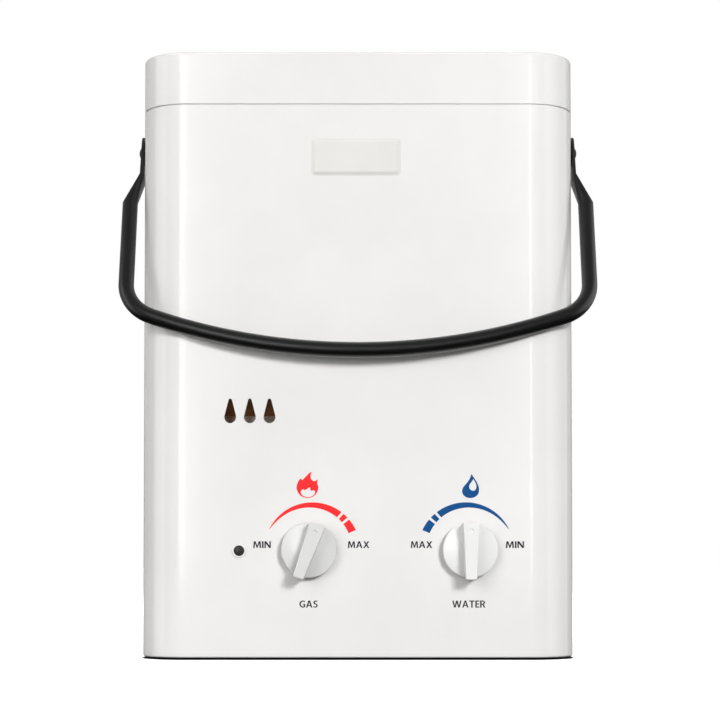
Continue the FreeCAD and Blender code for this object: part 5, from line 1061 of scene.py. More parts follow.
@dataclass
class Knob:
    """Moulded knob: a shallow domed disc with a tapered grip bar that points at its setting.

    Attributes:
        name: What it sets.
        x: Place across the front.
        turned: Degrees clockwise from straight up, seen from the front.
        radius: Radius of the disc.
        gap: Distance between the cover and the knob's back.
        reach: Distance from the cover to the bar's top.
        rim: Height of the disc's straight rim.
        dome: Rise of the disc's face.
        rim_r: Rounding of the rim.
        wall: Thickness of the moulding.
        hub_r: Radius of the hub at the back.
        head_width: Width of the bar at its pointer end.
        tail_width: Width of the bar at its other end.
        setback: Distance from the rim in to the pointer end.
        overhang: Distance from the rim out to the tail end.
        corner_r: Rounding of the bar's upright corners.
        edge_r: Rounding of the bar's top edges.
        fillet: Largest rounding where the bar stands on the disc.
        fillet_fade: Distance over which that rounding fades out.
        fillet_end: Distance from the rim at which it is gone.
        dimple_r: Radius of the pointer's dimple.
        dimple_rim: Width of the flat ring round the dimple.
        dimple_depth: Its depth.
        dimple_from_end: Its distance from the pointer end.
        finish: Its material.
        STEP_IN: Distance from a rounded edge at which a flat face starts.
        SINK: How deep the bar's foot is set into the disc.
        BACK_BEVEL: Bevel of the disc's rear edge.
        BACK_WALL: Height at which that edge's straight wall ends.
    """

    STEP_IN = 0.2
    SINK = 0.03
    BACK_BEVEL = 0.3
    BACK_WALL = 2.0
    name: str
    x: float
    turned: float
    radius: float = 19.25
    gap: float = 1.5
    reach: float = 22.0
    rim: float = 6.5
    dome: float = 3.0
    rim_r: float = 1.2
    wall: float = 2.0
    hub_r: float = 7.0
    head_width: float = 11.3
    tail_width: float = 7.5
    setback: float = 0.6
    overhang: float = 1.2
    corner_r: float = 1.0
    edge_r: float = 0.7
    fillet: float = 0.7
    fillet_fade: float = 2.5
    fillet_end: float = 0.6
    dimple_r: float = 1.7
    dimple_rim: float = 0.3
    dimple_depth: float = 1.0
    dimple_from_end: float = 5.7
    finish: Finish = WHITE_ABS

    @property
    def ball(self) -> float:
        """Radius of the ball whose cap rises by dome over the disc's radius."""
        return (self.radius ** 2 + self.dome ** 2) / (2 * self.dome)

    def face_height(self, radius: np.ndarray) -> np.ndarray:
        """Height of the disc's face, a cap of the ball, at distances from the knob's axis."""
        inside = np.minimum(radius, self.radius)
        return self.rim + self.dome - self.ball + np.sqrt(self.ball ** 2 - inside ** 2)

    def disc(self) -> Surface:
        """Disc with a domed face, a rounded rim and a hollow back round its hub.

        Returns:
            The disc, with its back at height 0.
        """
        edge = self.radius - self.rim_r
        tilt = np.degrees(np.arcsin(edge / self.ball))
        across = np.linspace(0, edge - self.STEP_IN, 14)
        face = [(float(r), float(h)) for r, h in zip(across, self.face_height(across))]
        shoulder = float(self.face_height(np.array([edge]))[0])
        rim = arc_profile((edge, shoulder - self.rim_r), self.rim_r, 90 - tilt, 0, 8)
        bevel, inner, hollow = self.BACK_BEVEL, self.radius - self.wall, self.rim - self.wall
        back = [(self.radius, self.BACK_WALL), (self.radius, bevel), (self.radius - bevel, 0),
                (inner, 0), (inner, hollow), (self.hub_r, hollow), (self.hub_r, 0), (0, 0)]
        return lathe(face + rim + back, 96)

    def bar(self) -> Surface:
        """Grip bar: rounded top edges, upright walls, and a fillet that follows the domed face.

        A wall point at distance r from the knob's axis meets the face at height(r). The fillet's
        size f is full inside the rim and fades to 0 at it. Its rows are a quarter round: outwards
        by f(1 - cos a) and up by f(1 - sin a) from the face.

        Returns:
            The bar, with its pointer end towards +Y.
        """
        head, tail = self.radius - self.setback, -self.radius - self.overhang
        wide, narrow = self.head_width / 2, self.tail_width / 2
        points, normals = rounded_outline([(-narrow, tail), (narrow, tail), (wide, head),
                                           (-wide, head)], self.corner_r, steps=7, run=30)
        top = self.reach - self.gap
        from_end = self.radius - self.fillet_end - np.linalg.norm(points, axis=1)
        size = self.fillet * np.clip(from_end / self.fillet_fade, 0, 1)
        rows = [lifted(points, 0)]
        for angle in np.radians(np.linspace(90, 0, 6)):
            moved = points + normals * (size * (1 - np.cos(angle)))[:, None]
            face = self.face_height(np.linalg.norm(moved, axis=1)) - self.SINK
            rows.append(lifted(moved, face + size * (1 - np.sin(angle))))
        rows += [lifted(points + normals * grow, top + drop) for grow, drop in
                 arc_profile((-self.edge_r, -self.edge_r), self.edge_r, 0, 90, 6)]
        inner = points - normals * (self.edge_r + self.STEP_IN)
        rows.append(lifted(inner, top))
        loop, dish = self.dimple(head - self.dimple_from_end, top)
        return joined([grid(np.array(rows), wrap=True), flat_panel(points, [], 0),
                       flat_panel(inner, [loop], top), dish])

    def dimple(self, y: float, top: float) -> tuple[np.ndarray, Surface]:
        """Round dish in the bar's top.

        At share s of its radius the dish is depth (1 - s^2) deep.

        Args:
            y: Place of its middle along the bar.
            top: Height of the bar's top.

        Returns:
            The loop at which the flat top ends, and the dish with the flat ring round it.
        """
        middle, outer_r, innermost = np.array([0, y]), self.dimple_r + self.dimple_rim, 0.08
        loop = Opening(0, y, outer_r, outer_r).outline(0)
        shares = [1 + self.dimple_rim / self.dimple_r, *np.linspace(1, innermost, 8)]
        rings = [lifted(middle + (loop - middle) * (s * self.dimple_r / outer_r),
                        top - self.dimple_depth * (1 - min(s, 1) ** 2)) for s in shares]
        return loop, grid(np.array(rings), wrap=True) + end_face(rings[-1])

    def dress(self) -> None:
        """Make the knob in one piece, turned to its setting."""
        turn = Facing.FRONT.turn @ turn_about_z(-self.turned)
        seat = (self.x, FRONT_Y - self.gap, KNOB_Z)
        whole = (self.disc() + self.bar()).placed(turn, seat)
        make_piece(f"{self.name}_knob_moulding", whole, self.finish, f"{self.name}_control",
                   (f"{self.name}_knob",), sharp=40)


@dataclass
class Handle:
    """Bail handle of bent tube with flattened ears, the washers behind them and their screws.

    Attributes:
        length: From the pivot's axis to the middle of the bar.
        tube_r: Radius of the tube.
        bar_r: Radius of the bar's slight bow.
        bend_r: Radius of the two bends.
        arm_x: Distance of the arms' middle from the heater's middle.
        closing: How much nearer to the middle the arms are at their bends.
        ear_x: Distance of the ears' inner faces from the heater's middle.
        ear_thick: Thickness of an ear.
        ear_width: Width of an ear.
        ear_end: From the pivot to the ear's rounded end.
        ear_flat: From the pivot to where the ear starts to open into the tube.
        opening: Length of that stretch.
        drain_at: From the pivot to the drain hole.
        drain_r: Radius of the drain hole.
        gap: Distance between the bar and the cover at rest.
        washer_r: Radius of the washers.
        washer: Thickness of the washers.
        washer_edge: Rounding of the washers' rims.
        washer_bore: Radius of the washers' holes.
        head_r: Radius of a screw's head.
        head: Height of a screw's head.
        head_foot: Height of the head's edge, where its dome starts.
        head_bevel: Width and height of the bevel under a head.
        head_x: Distance of the heads' inner faces from the heater's middle.
        shank_r: Radius of a screw's shank.
        shank: Length of a screw's shank.
        shank_bevel: Bevel at the shank's end.
        END_ROUND: Rounding of an ear's faces at its rounded end.
        FLAT_ROUND: Rounding of the section's corners where the ear is flat.
        CORNER_SHARE: Share of the section's half width that its corners take up at that end.
    """

    END_ROUND = 1.1
    FLAT_ROUND = 1.05
    CORNER_SHARE = 0.95

    length: float = 167.4
    tube_r: float = 5.5
    bar_r: float = 392.0
    bend_r: float = 29.0
    arm_x: float = 164.0
    closing: float = 0.9
    ear_x: float = 155.25
    ear_thick: float = 2.3
    ear_width: float = 17.0
    ear_end: float = 12.6
    ear_flat: float = 23.0
    opening: float = 21.0
    drain_at: float = 36.0
    drain_r: float = 1.4
    gap: float = 0.5
    washer_r: float = 9.0
    washer: float = 2.6
    washer_edge: float = 0.4
    washer_bore: float = 3.05
    head_r: float = 4.5
    head: float = 1.9
    head_foot: float = 0.25
    head_bevel: tuple[float, float] = (0.15, 0.12)
    head_x: float = 157.7
    shank_r: float = 3.0
    shank: float = 15.9
    shank_bevel: float = 0.4

    @property
    def bend_x(self) -> float:
        """Distance of the bends' middles from the heater's middle."""
        return self.arm_x - self.closing - self.bend_r

    @property
    def bar_middle(self) -> float:
        """Height of the middle of the bar's bow, over the pivot."""
        return self.bar_r - self.length

    def bend_middle(self) -> float:
        """Height of the bends' middles, over the pivot, where bend and bow touch."""
        return self.bar_middle - np.sqrt((self.bar_r - self.bend_r) ** 2 - self.bend_x ** 2)

    def lean(self) -> float:
        """Lean of the handle at rest, where its bar nearly touches the cover's front.

        Returns:
            Degrees forward from hanging straight down.
        """
        flat_half = HALF_WIDTH - Casing.front_r
        drop = -self.bar_middle + np.sqrt(self.bar_r ** 2 - flat_half ** 2)
        return float(np.degrees(np.arcsin((MIDDLE_Y - FRONT_Y + self.tube_r + self.gap) / drop)))

    def left_half(self) -> np.ndarray:
        """Rows of the left half, from the ear's end to the middle of the bar.

        Returns:
            For each row the section's middle x, z, the unit direction away from the inside of the
            bow x, z, and the section's half width, half thickness and corner radius. Heights are
            over the pivot.
        """
        ear_mid = self.ear_x + self.ear_thick / 2
        half, thin = self.ear_width / 2, self.ear_thick / 2
        end_round, flat_round = self.END_ROUND, self.FLAT_ROUND
        turn = np.radians(np.linspace(90, 0, 15))
        edge = np.clip(end_round - half * (1 - np.sin(turn)), 0, None)
        end = self.side_by_side(-ear_mid, self.ear_end - half + half * np.sin(turn), -1.0, 0.0,
                                half * np.cos(turn),
                                thin - end_round + np.sqrt(end_round ** 2 - edge ** 2),
                                np.minimum(end_round, half * np.cos(turn)) * self.CORNER_SHARE)
        share = np.linspace(0, 1, 16)
        opening = self.side_by_side(-(ear_mid + (self.arm_x - ear_mid) * share),
                                    -self.ear_flat - self.opening * share, -1.0, 0.0,
                                    half + (self.tube_r - half) * share,
                                    thin + (self.tube_r - thin) * share,
                                    flat_round + (self.tube_r - flat_round) * share)
        to_bar = np.arctan2(self.bend_x, self.bar_middle - self.bend_middle())
        arcs = [(self.bend_x, self.bend_middle(), self.bend_r, np.linspace(np.pi / 2, to_bar, 15)),
                (0, self.bar_middle, self.bar_r, np.linspace(to_bar, 0, 25)[1:])]
        tube = [self.side_by_side(-(x + radius * np.sin(angle)), z - radius * np.cos(angle),
                                  -np.sin(angle), -np.cos(angle), *[self.tube_r] * 3)
                for x, z, radius, angle in arcs]
        return np.vstack([end, opening, *tube])

    @staticmethod
    def side_by_side(*columns: float | np.ndarray) -> np.ndarray:
        """Columns side by side, with a single number repeated down its column."""
        return np.stack(np.broadcast_arrays(*columns), axis=-1)

    def bail(self) -> Surface:
        """Tube and ears: a rounded rectangle that turns into a circle, carried along the bent line.

        A section point at angle a is its quarter's corner middle plus the corner radius times
        (cos a, sin a), measured along the row's own direction and along Y.

        Returns:
            The bail, hanging straight down, with heights over the pivot.
        """
        left = self.left_half()
        right = left[-2::-1].copy()
        right[:, [0, 2]] *= -1
        rows = np.vstack([left, right])
        steps = 9
        quarter = np.arange(4)[:, None] * np.pi / 2
        angle = (quarter + np.linspace(0, np.pi / 2, steps)[None]).ravel()
        side_out = np.repeat([1, -1, -1, 1], steps)
        side_y = np.repeat([1, 1, -1, -1], steps)
        half, thin, corner = (rows[:, k, None] for k in (4, 5, 6))
        out = side_out * (thin - corner) + corner * np.cos(angle)
        wide = side_y * (half - corner) + corner * np.sin(angle)
        points = np.stack([rows[:, 0, None] + rows[:, 2, None] * out, wide,
                           rows[:, 1, None] + rows[:, 3, None] * out], axis=-1)
        return grid(points, wrap=True) + end_face(points[0]) + end_face(points[-1])

    def drain_painted_shade(self, side: int) -> Surface:
        """Painted shade of the drain hole: a dark dish that stands just proud of the tube's front.

        Args:
            side: -1 for the left arm, 1 for the right one.

        Returns:
            The dish, with heights over the pivot.
        """
        share = (self.drain_at - self.ear_flat) / self.opening
        half = self.ear_width / 2 + (self.tube_r - self.ear_width / 2) * share
        middle = self.ear_x + self.ear_thick / 2
        x = side * (middle + (self.arm_x - middle) * share)
        proud, swell, rim, sunk, bottom = 0.02, 0.03, 0.08, -0.1, -0.3
        flat_share, overlap = 0.8, 0.15
        dish = lathe([(0, proud), (self.drain_r * flat_share, swell), (self.drain_r, rim),
                      (self.drain_r + overlap, sunk), (0, bottom)], 24)
        return dish.placed(Facing.FRONT.turn, (x, -half, -self.drain_at))

    @staticmethod
    def both_sides(surface: Surface, x: float) -> Surface:
        """Surface on the pivot's axis at distance x to the right, and again to the left."""
        return (surface.placed(Facing.RIGHT.turn, (x, MIDDLE_Y, PIVOT_Z))
                + surface.placed(Facing.LEFT.turn, (-x, MIDDLE_Y, PIVOT_Z)))

    def washers(self) -> Surface:
        """Two thick washers with rounded rims.

        Returns:
            Both washers in place.
        """
        edge, bore = self.washer_edge, self.washer_bore
        profile = [(bore, 0), (self.washer_r - edge, 0),
                   *arc_profile((self.washer_r - edge, edge), edge, -90, 0, 4),
                   *arc_profile((self.washer_r - edge, self.washer - edge), edge, 0, 90, 4),
                   (bore, self.washer), (bore, 0)]
        return self.both_sides(lathe(profile), HALF_WIDTH)

    def screws(self) -> Surface:
        """Two shouldered screws with low domed heads.

        Returns:
            Both screws in place.
        """
        end_r, bevel_from = self.shank_r - self.shank_bevel, -self.shank + self.shank_bevel
        in_by, up_by = self.head_bevel
        profile = [(0, -self.shank), (end_r, -self.shank), (self.shank_r, bevel_from),
                   (self.shank_r, 0), (self.head_r - in_by, 0), (self.head_r, up_by),
                   *dome_profile(self.head_r, self.head_foot, self.head - self.head_foot)]
        return self.both_sides(lathe(profile, 48), self.head_x)

    def dress(self) -> None:
        """Make the bail, leaned forward, its drain holes' painted shade, washers and screws."""
        lean = turn_about_x(-self.lean())
        pivot = (0.0, MIDDLE_Y, PIVOT_Z)
        make_piece("bail_handle", self.bail().placed(lean, pivot), BLACK_LACQUER, "handle",
                   ("handle",))
        # The drain holes are painted shade: dark dishes on the tube where the holes lie.
        drain_shades = self.drain_painted_shade(-1) + self.drain_painted_shade(1)
        make_piece("drain_hole_painted_shade", drain_shades.placed(lean, pivot), RUBBER, "handle")
        make_piece("pivot_washers", self.washers(), BLACK_PLASTIC,
                   replaces=("handle_washers",))
        make_piece("pivot_screw_pair", self.screws(), BLACK_ZINC,
                   replaces=("pivot_screws",))


class Lettering:
    """Heavy plain capitals on a body one unit high, drawn for this panel.

    Attributes:
        STRAIGHT: Corners of each letter without curves, anticlockwise or clockwise.
        HOLES: Corners of the hole in such a letter.
        GAP: Space between two letters.
    """

    STRAIGHT: dict[str, Pairs] = {
        "I": [(0, 0), (0.2, 0), (0.2, 1), (0, 1)],
        "N": [(0, 0), (0.18, 0), (0.165, 0.66), (0.56, 0), (0.78, 0), (0.78, 1), (0.6, 1),
              (0.615, 0.34), (0.22, 1), (0, 1)],
        "M": [(0, 0), (0.19, 0), (0.235, 0.68), (0.43, 0.02), (0.55, 0.02), (0.745, 0.68),
              (0.79, 0), (0.98, 0), (0.905, 1), (0.68, 1), (0.49, 0.36), (0.3, 1), (0.075, 1)],
        "A": [(0, 0), (0.2, 0), (0.27, 0.23), (0.59, 0.23), (0.66, 0), (0.86, 0), (0.54, 1),
              (0.32, 1)],
        "X": [(0, 0), (0.22, 0), (0.405, 0.335), (0.59, 0), (0.82, 0), (0.525, 0.51), (0.8, 1),
              (0.585, 1), (0.41, 0.68), (0.24, 1), (0.02, 1), (0.295, 0.51)],
        "T": [(0.27, 0), (0.47, 0), (0.47, 0.84), (0.74, 0.84), (0.74, 1), (0, 1), (0, 0.84),
              (0.27, 0.84)],
        "E": [(0, 0), (0.56, 0), (0.56, 0.155), (0.2, 0.155), (0.2, 0.43), (0.52, 0.43),
              (0.52, 0.58), (0.2, 0.58), (0.2, 0.845), (0.55, 0.845), (0.55, 1), (0, 1)],
        "W": [(0.25, 0), (0.46, 0), (0.64, 0.66), (0.82, 0), (1.03, 0), (1.28, 1), (1.08, 1),
              (0.92, 0.28), (0.745, 1), (0.535, 1), (0.36, 0.28), (0.2, 1), (0, 1)],
    }
    HOLES: dict[str, Pairs] = {"A": [(0.315, 0.38), (0.545, 0.38), (0.43, 0.76)]}
    GAP = 0.1

    @staticmethod
    def bow(middle: tuple[float, float], across: float, up: float, start: float,
            end: float) -> np.ndarray:
        """Part of an ellipse: middle + (across cos a, up sin a), a from start to end degrees."""
        angle = np.radians(np.linspace(start, end, 12))
        return np.array(middle) + np.column_stack([across * np.cos(angle), up * np.sin(angle)])

    def letter(self, name: str) -> tuple[np.ndarray, list[np.ndarray]]:
        """Outline of a letter and the holes in it.

        Args:
            name: The letter.

        Returns:
            Its outer loop and a list of its inner loops.
        """
        if name == "R":
            leg = np.array([(0, 0), (0.2, 0), (0.2, 0.4), (0.3, 0.4), (0.51, 0), (0.74, 0)])
            outer = np.vstack([leg, self.bow((0.36, 0.71), 0.32, 0.29, -65, 90), [(0, 1)]])
            eye = np.vstack([[(0.2, 0.55)], self.bow((0.34, 0.7), 0.14, 0.15, -90, 90),
                             [(0.2, 0.85)]])
            return outer, [eye]
        if name == "G":
            bar = np.array([(0.8, 0.12), (0.8, 0.52), (0.47, 0.52), (0.47, 0.375), (0.615, 0.375)])
            return np.vstack([self.bow((0.48, 0.5), 0.48, 0.51, 50, 306), bar,
                              self.bow((0.48, 0.5), 0.28, 0.345, 299, 45)]), []
        if name == "S":
            knots = [(0.60, 0.95), (0.36, 1.01), (0.10, 0.90), (0.035, 0.70), (0.14, 0.51),
                     (0.34, 0.42), (0.41, 0.30), (0.40, 0.19), (0.27, 0.145), (0.05, 0.21),
                     (0.02, 0.05), (0.27, -0.01), (0.52, 0.07), (0.625, 0.29), (0.53, 0.49),
                     (0.33, 0.59), (0.245, 0.70), (0.27, 0.81), (0.40, 0.86), (0.54, 0.80)]
            return Print.smooth_loop(knots, (0, 9, 10, 19), steps=4), []
        holes = [np.array(self.HOLES[name])] if name in self.HOLES else []
        return np.array(self.STRAIGHT[name], float), holes

    def word(self, text: str, low: tuple[float, float],
             high: tuple[float, float]) -> list[tuple[np.ndarray, list[np.ndarray]]]:
        """Letters of a word, set side by side and then stretched to fill a box.

        Args:
            text: The word.
            low: Left and lower edge of the box.
            high: Right and upper edge of the box.

        Returns:
            Outer loop and inner loops of each letter.
        """
        letters = [self.letter(name) for name in text]
        widths = np.array([outer[:, 0].max() for outer, _ in letters])
        starts = np.concatenate([[0], np.cumsum(widths + self.GAP)[:-1]])
        scale = (np.array(high) - np.array(low)) / [starts[-1] + widths[-1], 1]
        return [(low + (outer + [start, 0]) * scale,
                 [low + (hole + [start, 0]) * scale for hole in holes])
                for start, (outer, holes) in zip(starts, letters)]


@dataclass
class Print:
    """Printed marks on the cover's front: setting arcs, a flame, a drop and plain words.

    Attributes:
        film: Thickness of the ink.
        outer_r: Radius of an arc's outer edge.
        outer_at: Middle of the outer edge, from the knob's axis, on the gas side.
        width: Width of an arc at its thin end and at its thick end.
        swell: How fast the width grows; 1 is evenly, less is faster at first.
        spans: Start and end of each stretch of an arc, degrees clockwise from straight up.
        water_shift: How far the water arc's middle stands to the right of its knob's axis.
        above: Lower and upper edge of the words beside the arcs.
        below: Lower and upper edge of the words under the knobs.
    """

    film: float = 0.05
    outer_r: float = 33.5
    outer_at: tuple[float, float] = (2.3, -0.3)
    width: tuple[float, float] = (0.15, 5.6)
    swell: float = 0.65
    spans: tuple[tuple[float, float], ...] = ((-62.2, 40.6), (43.7, 49.8), (52.8, 67.0))
    water_shift: float = -0.5
    above: tuple[float, float] = (77.7, 82.4)
    below: tuple[float, float] = (36.3, 41.2)

    def on_cover(self, surface: Surface) -> Surface:
        """Put a flat mark, drawn in x and z as seen from the front, on the cover."""
        return surface.placed(Facing.FRONT.turn, (0, FRONT_Y, 0))

    def setting_arc(self, x: float, mirror: int) -> Surface:
        """Arc that swells from a hairline, cut by two slits.

        A ray at angle a from the knob's axis meets the outer circle at the distance
        d = p + sqrt(p^2 - m^2 + R^2), with p the circle's middle m measured along the ray. The
        inner edge lies nearer the axis by w0 + (w1 - w0) s^swell, where s runs from 0 to 1
        between the two ends.

        Args:
            x: Place of the axis across the front.
            mirror: 1 to swell clockwise, -1 to swell anticlockwise.

        Returns:
            The arc's three stretches.
        """
        stretches = []
        middle = np.array(self.outer_at)
        first, last = self.spans[0][0], self.spans[-1][1]
        for start, end in self.spans:
            degrees = np.linspace(start, end, max(4, int(end - start) // 2))
            ray = np.stack([np.sin(np.radians(degrees)), np.cos(np.radians(degrees))], axis=-1)
            along = ray @ middle
            far = along + np.sqrt(along ** 2 - middle @ middle + self.outer_r ** 2)
            share = (degrees - first) / (last - first)
            wide = self.width[0] + np.diff(self.width) * share ** self.swell
            loop = np.vstack([ray * far[:, None], (ray * (far - wide)[:, None])[::-1]])
            stretches.append(self.film_of(loop * [mirror, 1] + [x, KNOB_Z], []))
        return joined(stretches)

    def film_of(self, loop: np.ndarray, holes: list[np.ndarray]) -> Surface:
        """Closed film of ink over a flat shape: a face on top, one below and walls between.

        Args:
            loop: Outer loop of the shape.
            holes: Its inner loops.

        Returns:
            The surface.
        """
        faces = [flat_panel(loop, holes, height) for height in (self.film, 0)]
        walls = [grid(np.stack([lifted(edge, height) for height in (0, self.film)]), wrap=True)
                 for edge in [loop, *holes]]
        return joined(faces + walls)

    @staticmethod
    def smooth_loop(knots: Pairs, sharp: tuple[int, ...], steps: int = 8) -> np.ndarray:
        """Closed curve through its knots.

        Between two knots it is the cubic whose end slopes are half the step between the knots on
        either side; at a sharp knot the slope is the step to the neighbour itself.

        Args:
            knots: Points of the curve.
            sharp: Numbers of the knots where it comes to a point.
            steps: Points for each stretch.

        Returns:
            The curve's points.
        """
        knot = np.array(knots, float)
        ahead, behind = np.roll(knot, -1, axis=0), np.roll(knot, 1, axis=0)
        leave = (ahead - behind) / 2
        arrive = leave.copy()
        for number in sharp:
            leave[number] = ahead[number] - knot[number]
            arrive[number] = knot[number] - behind[number]
        t = np.linspace(0, 1, steps, endpoint=False)[None, :, None]
        start, end = knot[:, None], ahead[:, None]
        out, into = leave[:, None], np.roll(arrive, -1, axis=0)[:, None]
        curve = ((2 * t ** 3 - 3 * t ** 2 + 1) * start + (t ** 3 - 2 * t ** 2 + t) * out
                 + (3 * t ** 2 - 2 * t ** 3) * end + (t ** 3 - t ** 2) * into)
        return curve.reshape(-1, 2)

    def flame(self) -> Surface:
        """Flame with three tongues round an open inner flame.

        Returns:
            The mark, in x and z as seen from the front.
        """
        outer = [(-35.2, 112.5), (-31.5, 113.3), (-28.9, 115.6), (-27.7, 118.6), (-27.7, 120.9),
                 (-28.3, 123.1), (-27.9, 125.6), (-30.3, 124.3), (-32.5, 125.6), (-33.0, 128.0),
                 (-32.0, 130.9), (-34.2, 129.6), (-36.5, 127.2), (-38.6, 125.0), (-40.1, 126.1),
                 (-42.0, 123.1), (-42.7, 120.0), (-42.0, 116.9), (-39.4, 113.8)]
        inner = [(-35.0, 113.1), (-31.9, 113.8), (-30.2, 115.3), (-29.8, 116.9), (-30.8, 118.1),
                 (-32.0, 117.5), (-33.0, 118.1), (-33.4, 120.0), (-35.5, 118.8), (-37.2, 117.9),
                 (-38.3, 118.6), (-39.5, 117.5), (-39.7, 116.1), (-38.3, 114.2)]
        return self.film_of(self.smooth_loop(outer, (6, 10, 13, 14)),
                            [self.smooth_loop(inner, (4, 7, 9))])

    def drop(self) -> Surface:
        """Water drop with an open drop in it.

        Returns:
            The mark, in x and z as seen from the front.
        """
        outer = [(79.1, 129.3), (77.9, 125.9), (75.7, 122.8), (73.3, 119.9), (72.6, 117.3),
                 (73.4, 114.8), (75.5, 113.1), (78.5, 112.5), (81.7, 113.3), (83.8, 115.4),
                 (84.4, 118.0), (84.1, 120.7), (82.7, 123.8), (80.8, 126.8)]
        inner = [(80.4, 125.7), (81.5, 123.9), (82.4, 121.7), (82.5, 119.6), (81.6, 118.0),
                 (80.0, 117.6), (78.3, 118.5), (77.5, 120.2), (78.0, 122.1), (79.2, 123.8)]
        return self.film_of(self.smooth_loop(outer, (0,)), [self.smooth_loop(inner, (0,))])

    def words(self) -> Surface:
        """Names of the two controls and of their end settings, each in its box.

        Returns:
            The words, in x and z as seen from the front.
        """
        boxes = (("MIN", (-72.9, -60.6), self.above), ("MAX", (-7.0, 8.0), self.above),
                 ("MAX", (36.8, 51.8), self.above), ("MIN", (102.9, 115.6), self.above),
                 ("GAS", (-40.7, -27.9), self.below), ("WATER", (65.6, 88.7), self.below))
        return joined(self.film_of(outer, holes) for text, across, up in boxes
                      for outer, holes in Lettering().word(text, (across[0], up[0]),
                                                           (across[1], up[1])))

    def dress(self) -> None:
        """Make every printed mark."""
        red = self.setting_arc(GAS_X, 1) + self.flame()
        blue = self.setting_arc(WATER_X + self.water_shift, -1) + self.drop()
        make_piece("gas_marks", self.on_cover(red), RED_INK)
        make_piece("water_marks", self.on_cover(blue), BLUE_INK)
        make_piece("setting_words", self.on_cover(self.words()), DARK_INK)


@dataclass
class Fitting:
    """Threaded brass connection under the base, with a hexagon above its thread.

    Attributes:
        x: Place across the heater.
        y: Place from front to back.
        low: Height of the open end.
        thread_r: Outer radius of the thread.
        thread: Length of the thread.
        pitch: Distance between two turns.
        hexagon: Width across the hexagon's flats.
        top: Height of the stem's top.
        stem_r: Radius of the stem above the hexagon.
        bore_r: Radius of the bore.
        base: Height of the hexagon's upper face.
        DEPTH: Depth of the thread as a share of its pitch.
        STEPS: Rows for each turn of the thread.
        COUNT: Points round it.
        BROKEN: Width of the bevel on the hexagon's corners.
    """

    DEPTH = 0.42
    STEPS = 8
    COUNT = 48
    BROKEN = 0.5
    x: float
    y: float
    low: float
    thread_r: float
    thread: float
    pitch: float
    hexagon: float
    top: float
    stem_r: float
    bore_r: float
    base: float = 30.0

    def threaded(self) -> Surface:
        """Thread and bore.

        The outer radius is thread_r less a triangle wave of the height over the pitch less the
        angle over a full turn, so that the crest climbs one pitch each turn; the wave fades out at
        both ends.

        Returns:
            The thread, with its open end at height 0.
        """
        depth = self.pitch * self.DEPTH
        height = np.linspace(0, self.thread, int(self.thread / self.pitch * self.STEPS) + 1)
        angle = around(self.COUNT)
        turns = height[:, None] / self.pitch - angle[None] / (2 * np.pi)
        wave = np.abs(2 * np.mod(turns, 1) - 1)
        fade = np.clip(np.minimum(height, self.thread - height) / self.pitch, 0, 1)[:, None]
        outer = self.thread_r - depth * (1 - fade) - depth * wave * fade
        bevel, roof = 0.4, 1.0
        bore = [np.full(self.COUNT, self.bore_r + more) for more in (0, 0, bevel)]
        radius = np.vstack([*bore, outer])
        lift = np.concatenate([[self.thread - roof, bevel, 0.0], height])
        wall = np.stack([radius * np.cos(angle), radius * np.sin(angle),
                         np.repeat(lift[:, None], self.COUNT, axis=1)], axis=-1)
        return grid(wall, wrap=True) + end_face(wall[0])

    def nut(self) -> Surface:
        """Hexagon with corners turned down at both faces.

        Returns:
            The hexagon, with its lower face at height 0.
        """
        long = self.hexagon / np.sqrt(3)
        corners = [(float(long * np.cos(a)), float(long * np.sin(a)))
                   for a in np.radians(np.arange(0, 360, 60))]
        corner_r, clear = 0.6, 0.02
        points, normals = rounded_outline(corners, corner_r, steps=5)
        high, cut = self.base - self.low - self.thread, self.BROKEN
        return raised_plate(points, normals, [(-cut, 0), (0, cut), (0, high - cut),
                                              (-cut, high - clear)])

    def surface(self) -> Surface:
        """Thread, hexagon and stem in place.

        Returns:
            The fitting in place.
        """
        foot, height = -1.0, self.top - self.base
        stem = lathe([(0, foot), (self.stem_r, foot), (self.stem_r, height), (0, height)], 40)
        pieces = ((self.threaded(), self.low), (self.nut(), self.low + self.thread),
                  (stem, self.base))
        return joined(piece.placed(Facing.UP.turn, (self.x, self.y, z)) for piece, z in pieces)


@dataclass
class Connections:
    """The two water fittings and the gas inlet.

    Attributes:
        rod_y: Y of the gas and the water inlet.
        outlet: X and Y of the water outlet.
        inlet_top: Height at which the water inlet ends.
    """

    rod_y: float = -5.5
    outlet: tuple[float, float] = (34.0, 36.5)
    inlet_top: float = 53.3

    def dress(self) -> None:
        """Make the fittings; the water outlet and the gas inlet end as high as the solid parts they
        stand for.
        """
        water_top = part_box("water_fittings")[1].z / MM
        gas_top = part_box("gas_inlet")[1].z / MM
        inlet, outlet = (Fitting(x, y, low=6.0, thread_r=13.4, thread=18.0, pitch=2.2,
                                 hexagon=30.0, top=top, stem_r=8.0, bore_r=8.5)
                         for x, y, top in ((WATER_X, self.rod_y, self.inlet_top),
                                           (*self.outlet, water_top)))
        gas = Fitting(GAS_X, self.rod_y, low=8.0, thread_r=7.94, thread=15.0, pitch=1.41,
                      hexagon=19.0, top=gas_top, stem_r=6.0, bore_r=4.0)
        LOG.info("water fittings end at %.1f mm", water_top)
        make_piece("water_connections", inlet.surface() + outlet.surface(), BRASS,
                   replaces=("water_fittings",))
        make_piece("gas_connection", gas.surface(), BRASS, replaces=("gas_inlet",))


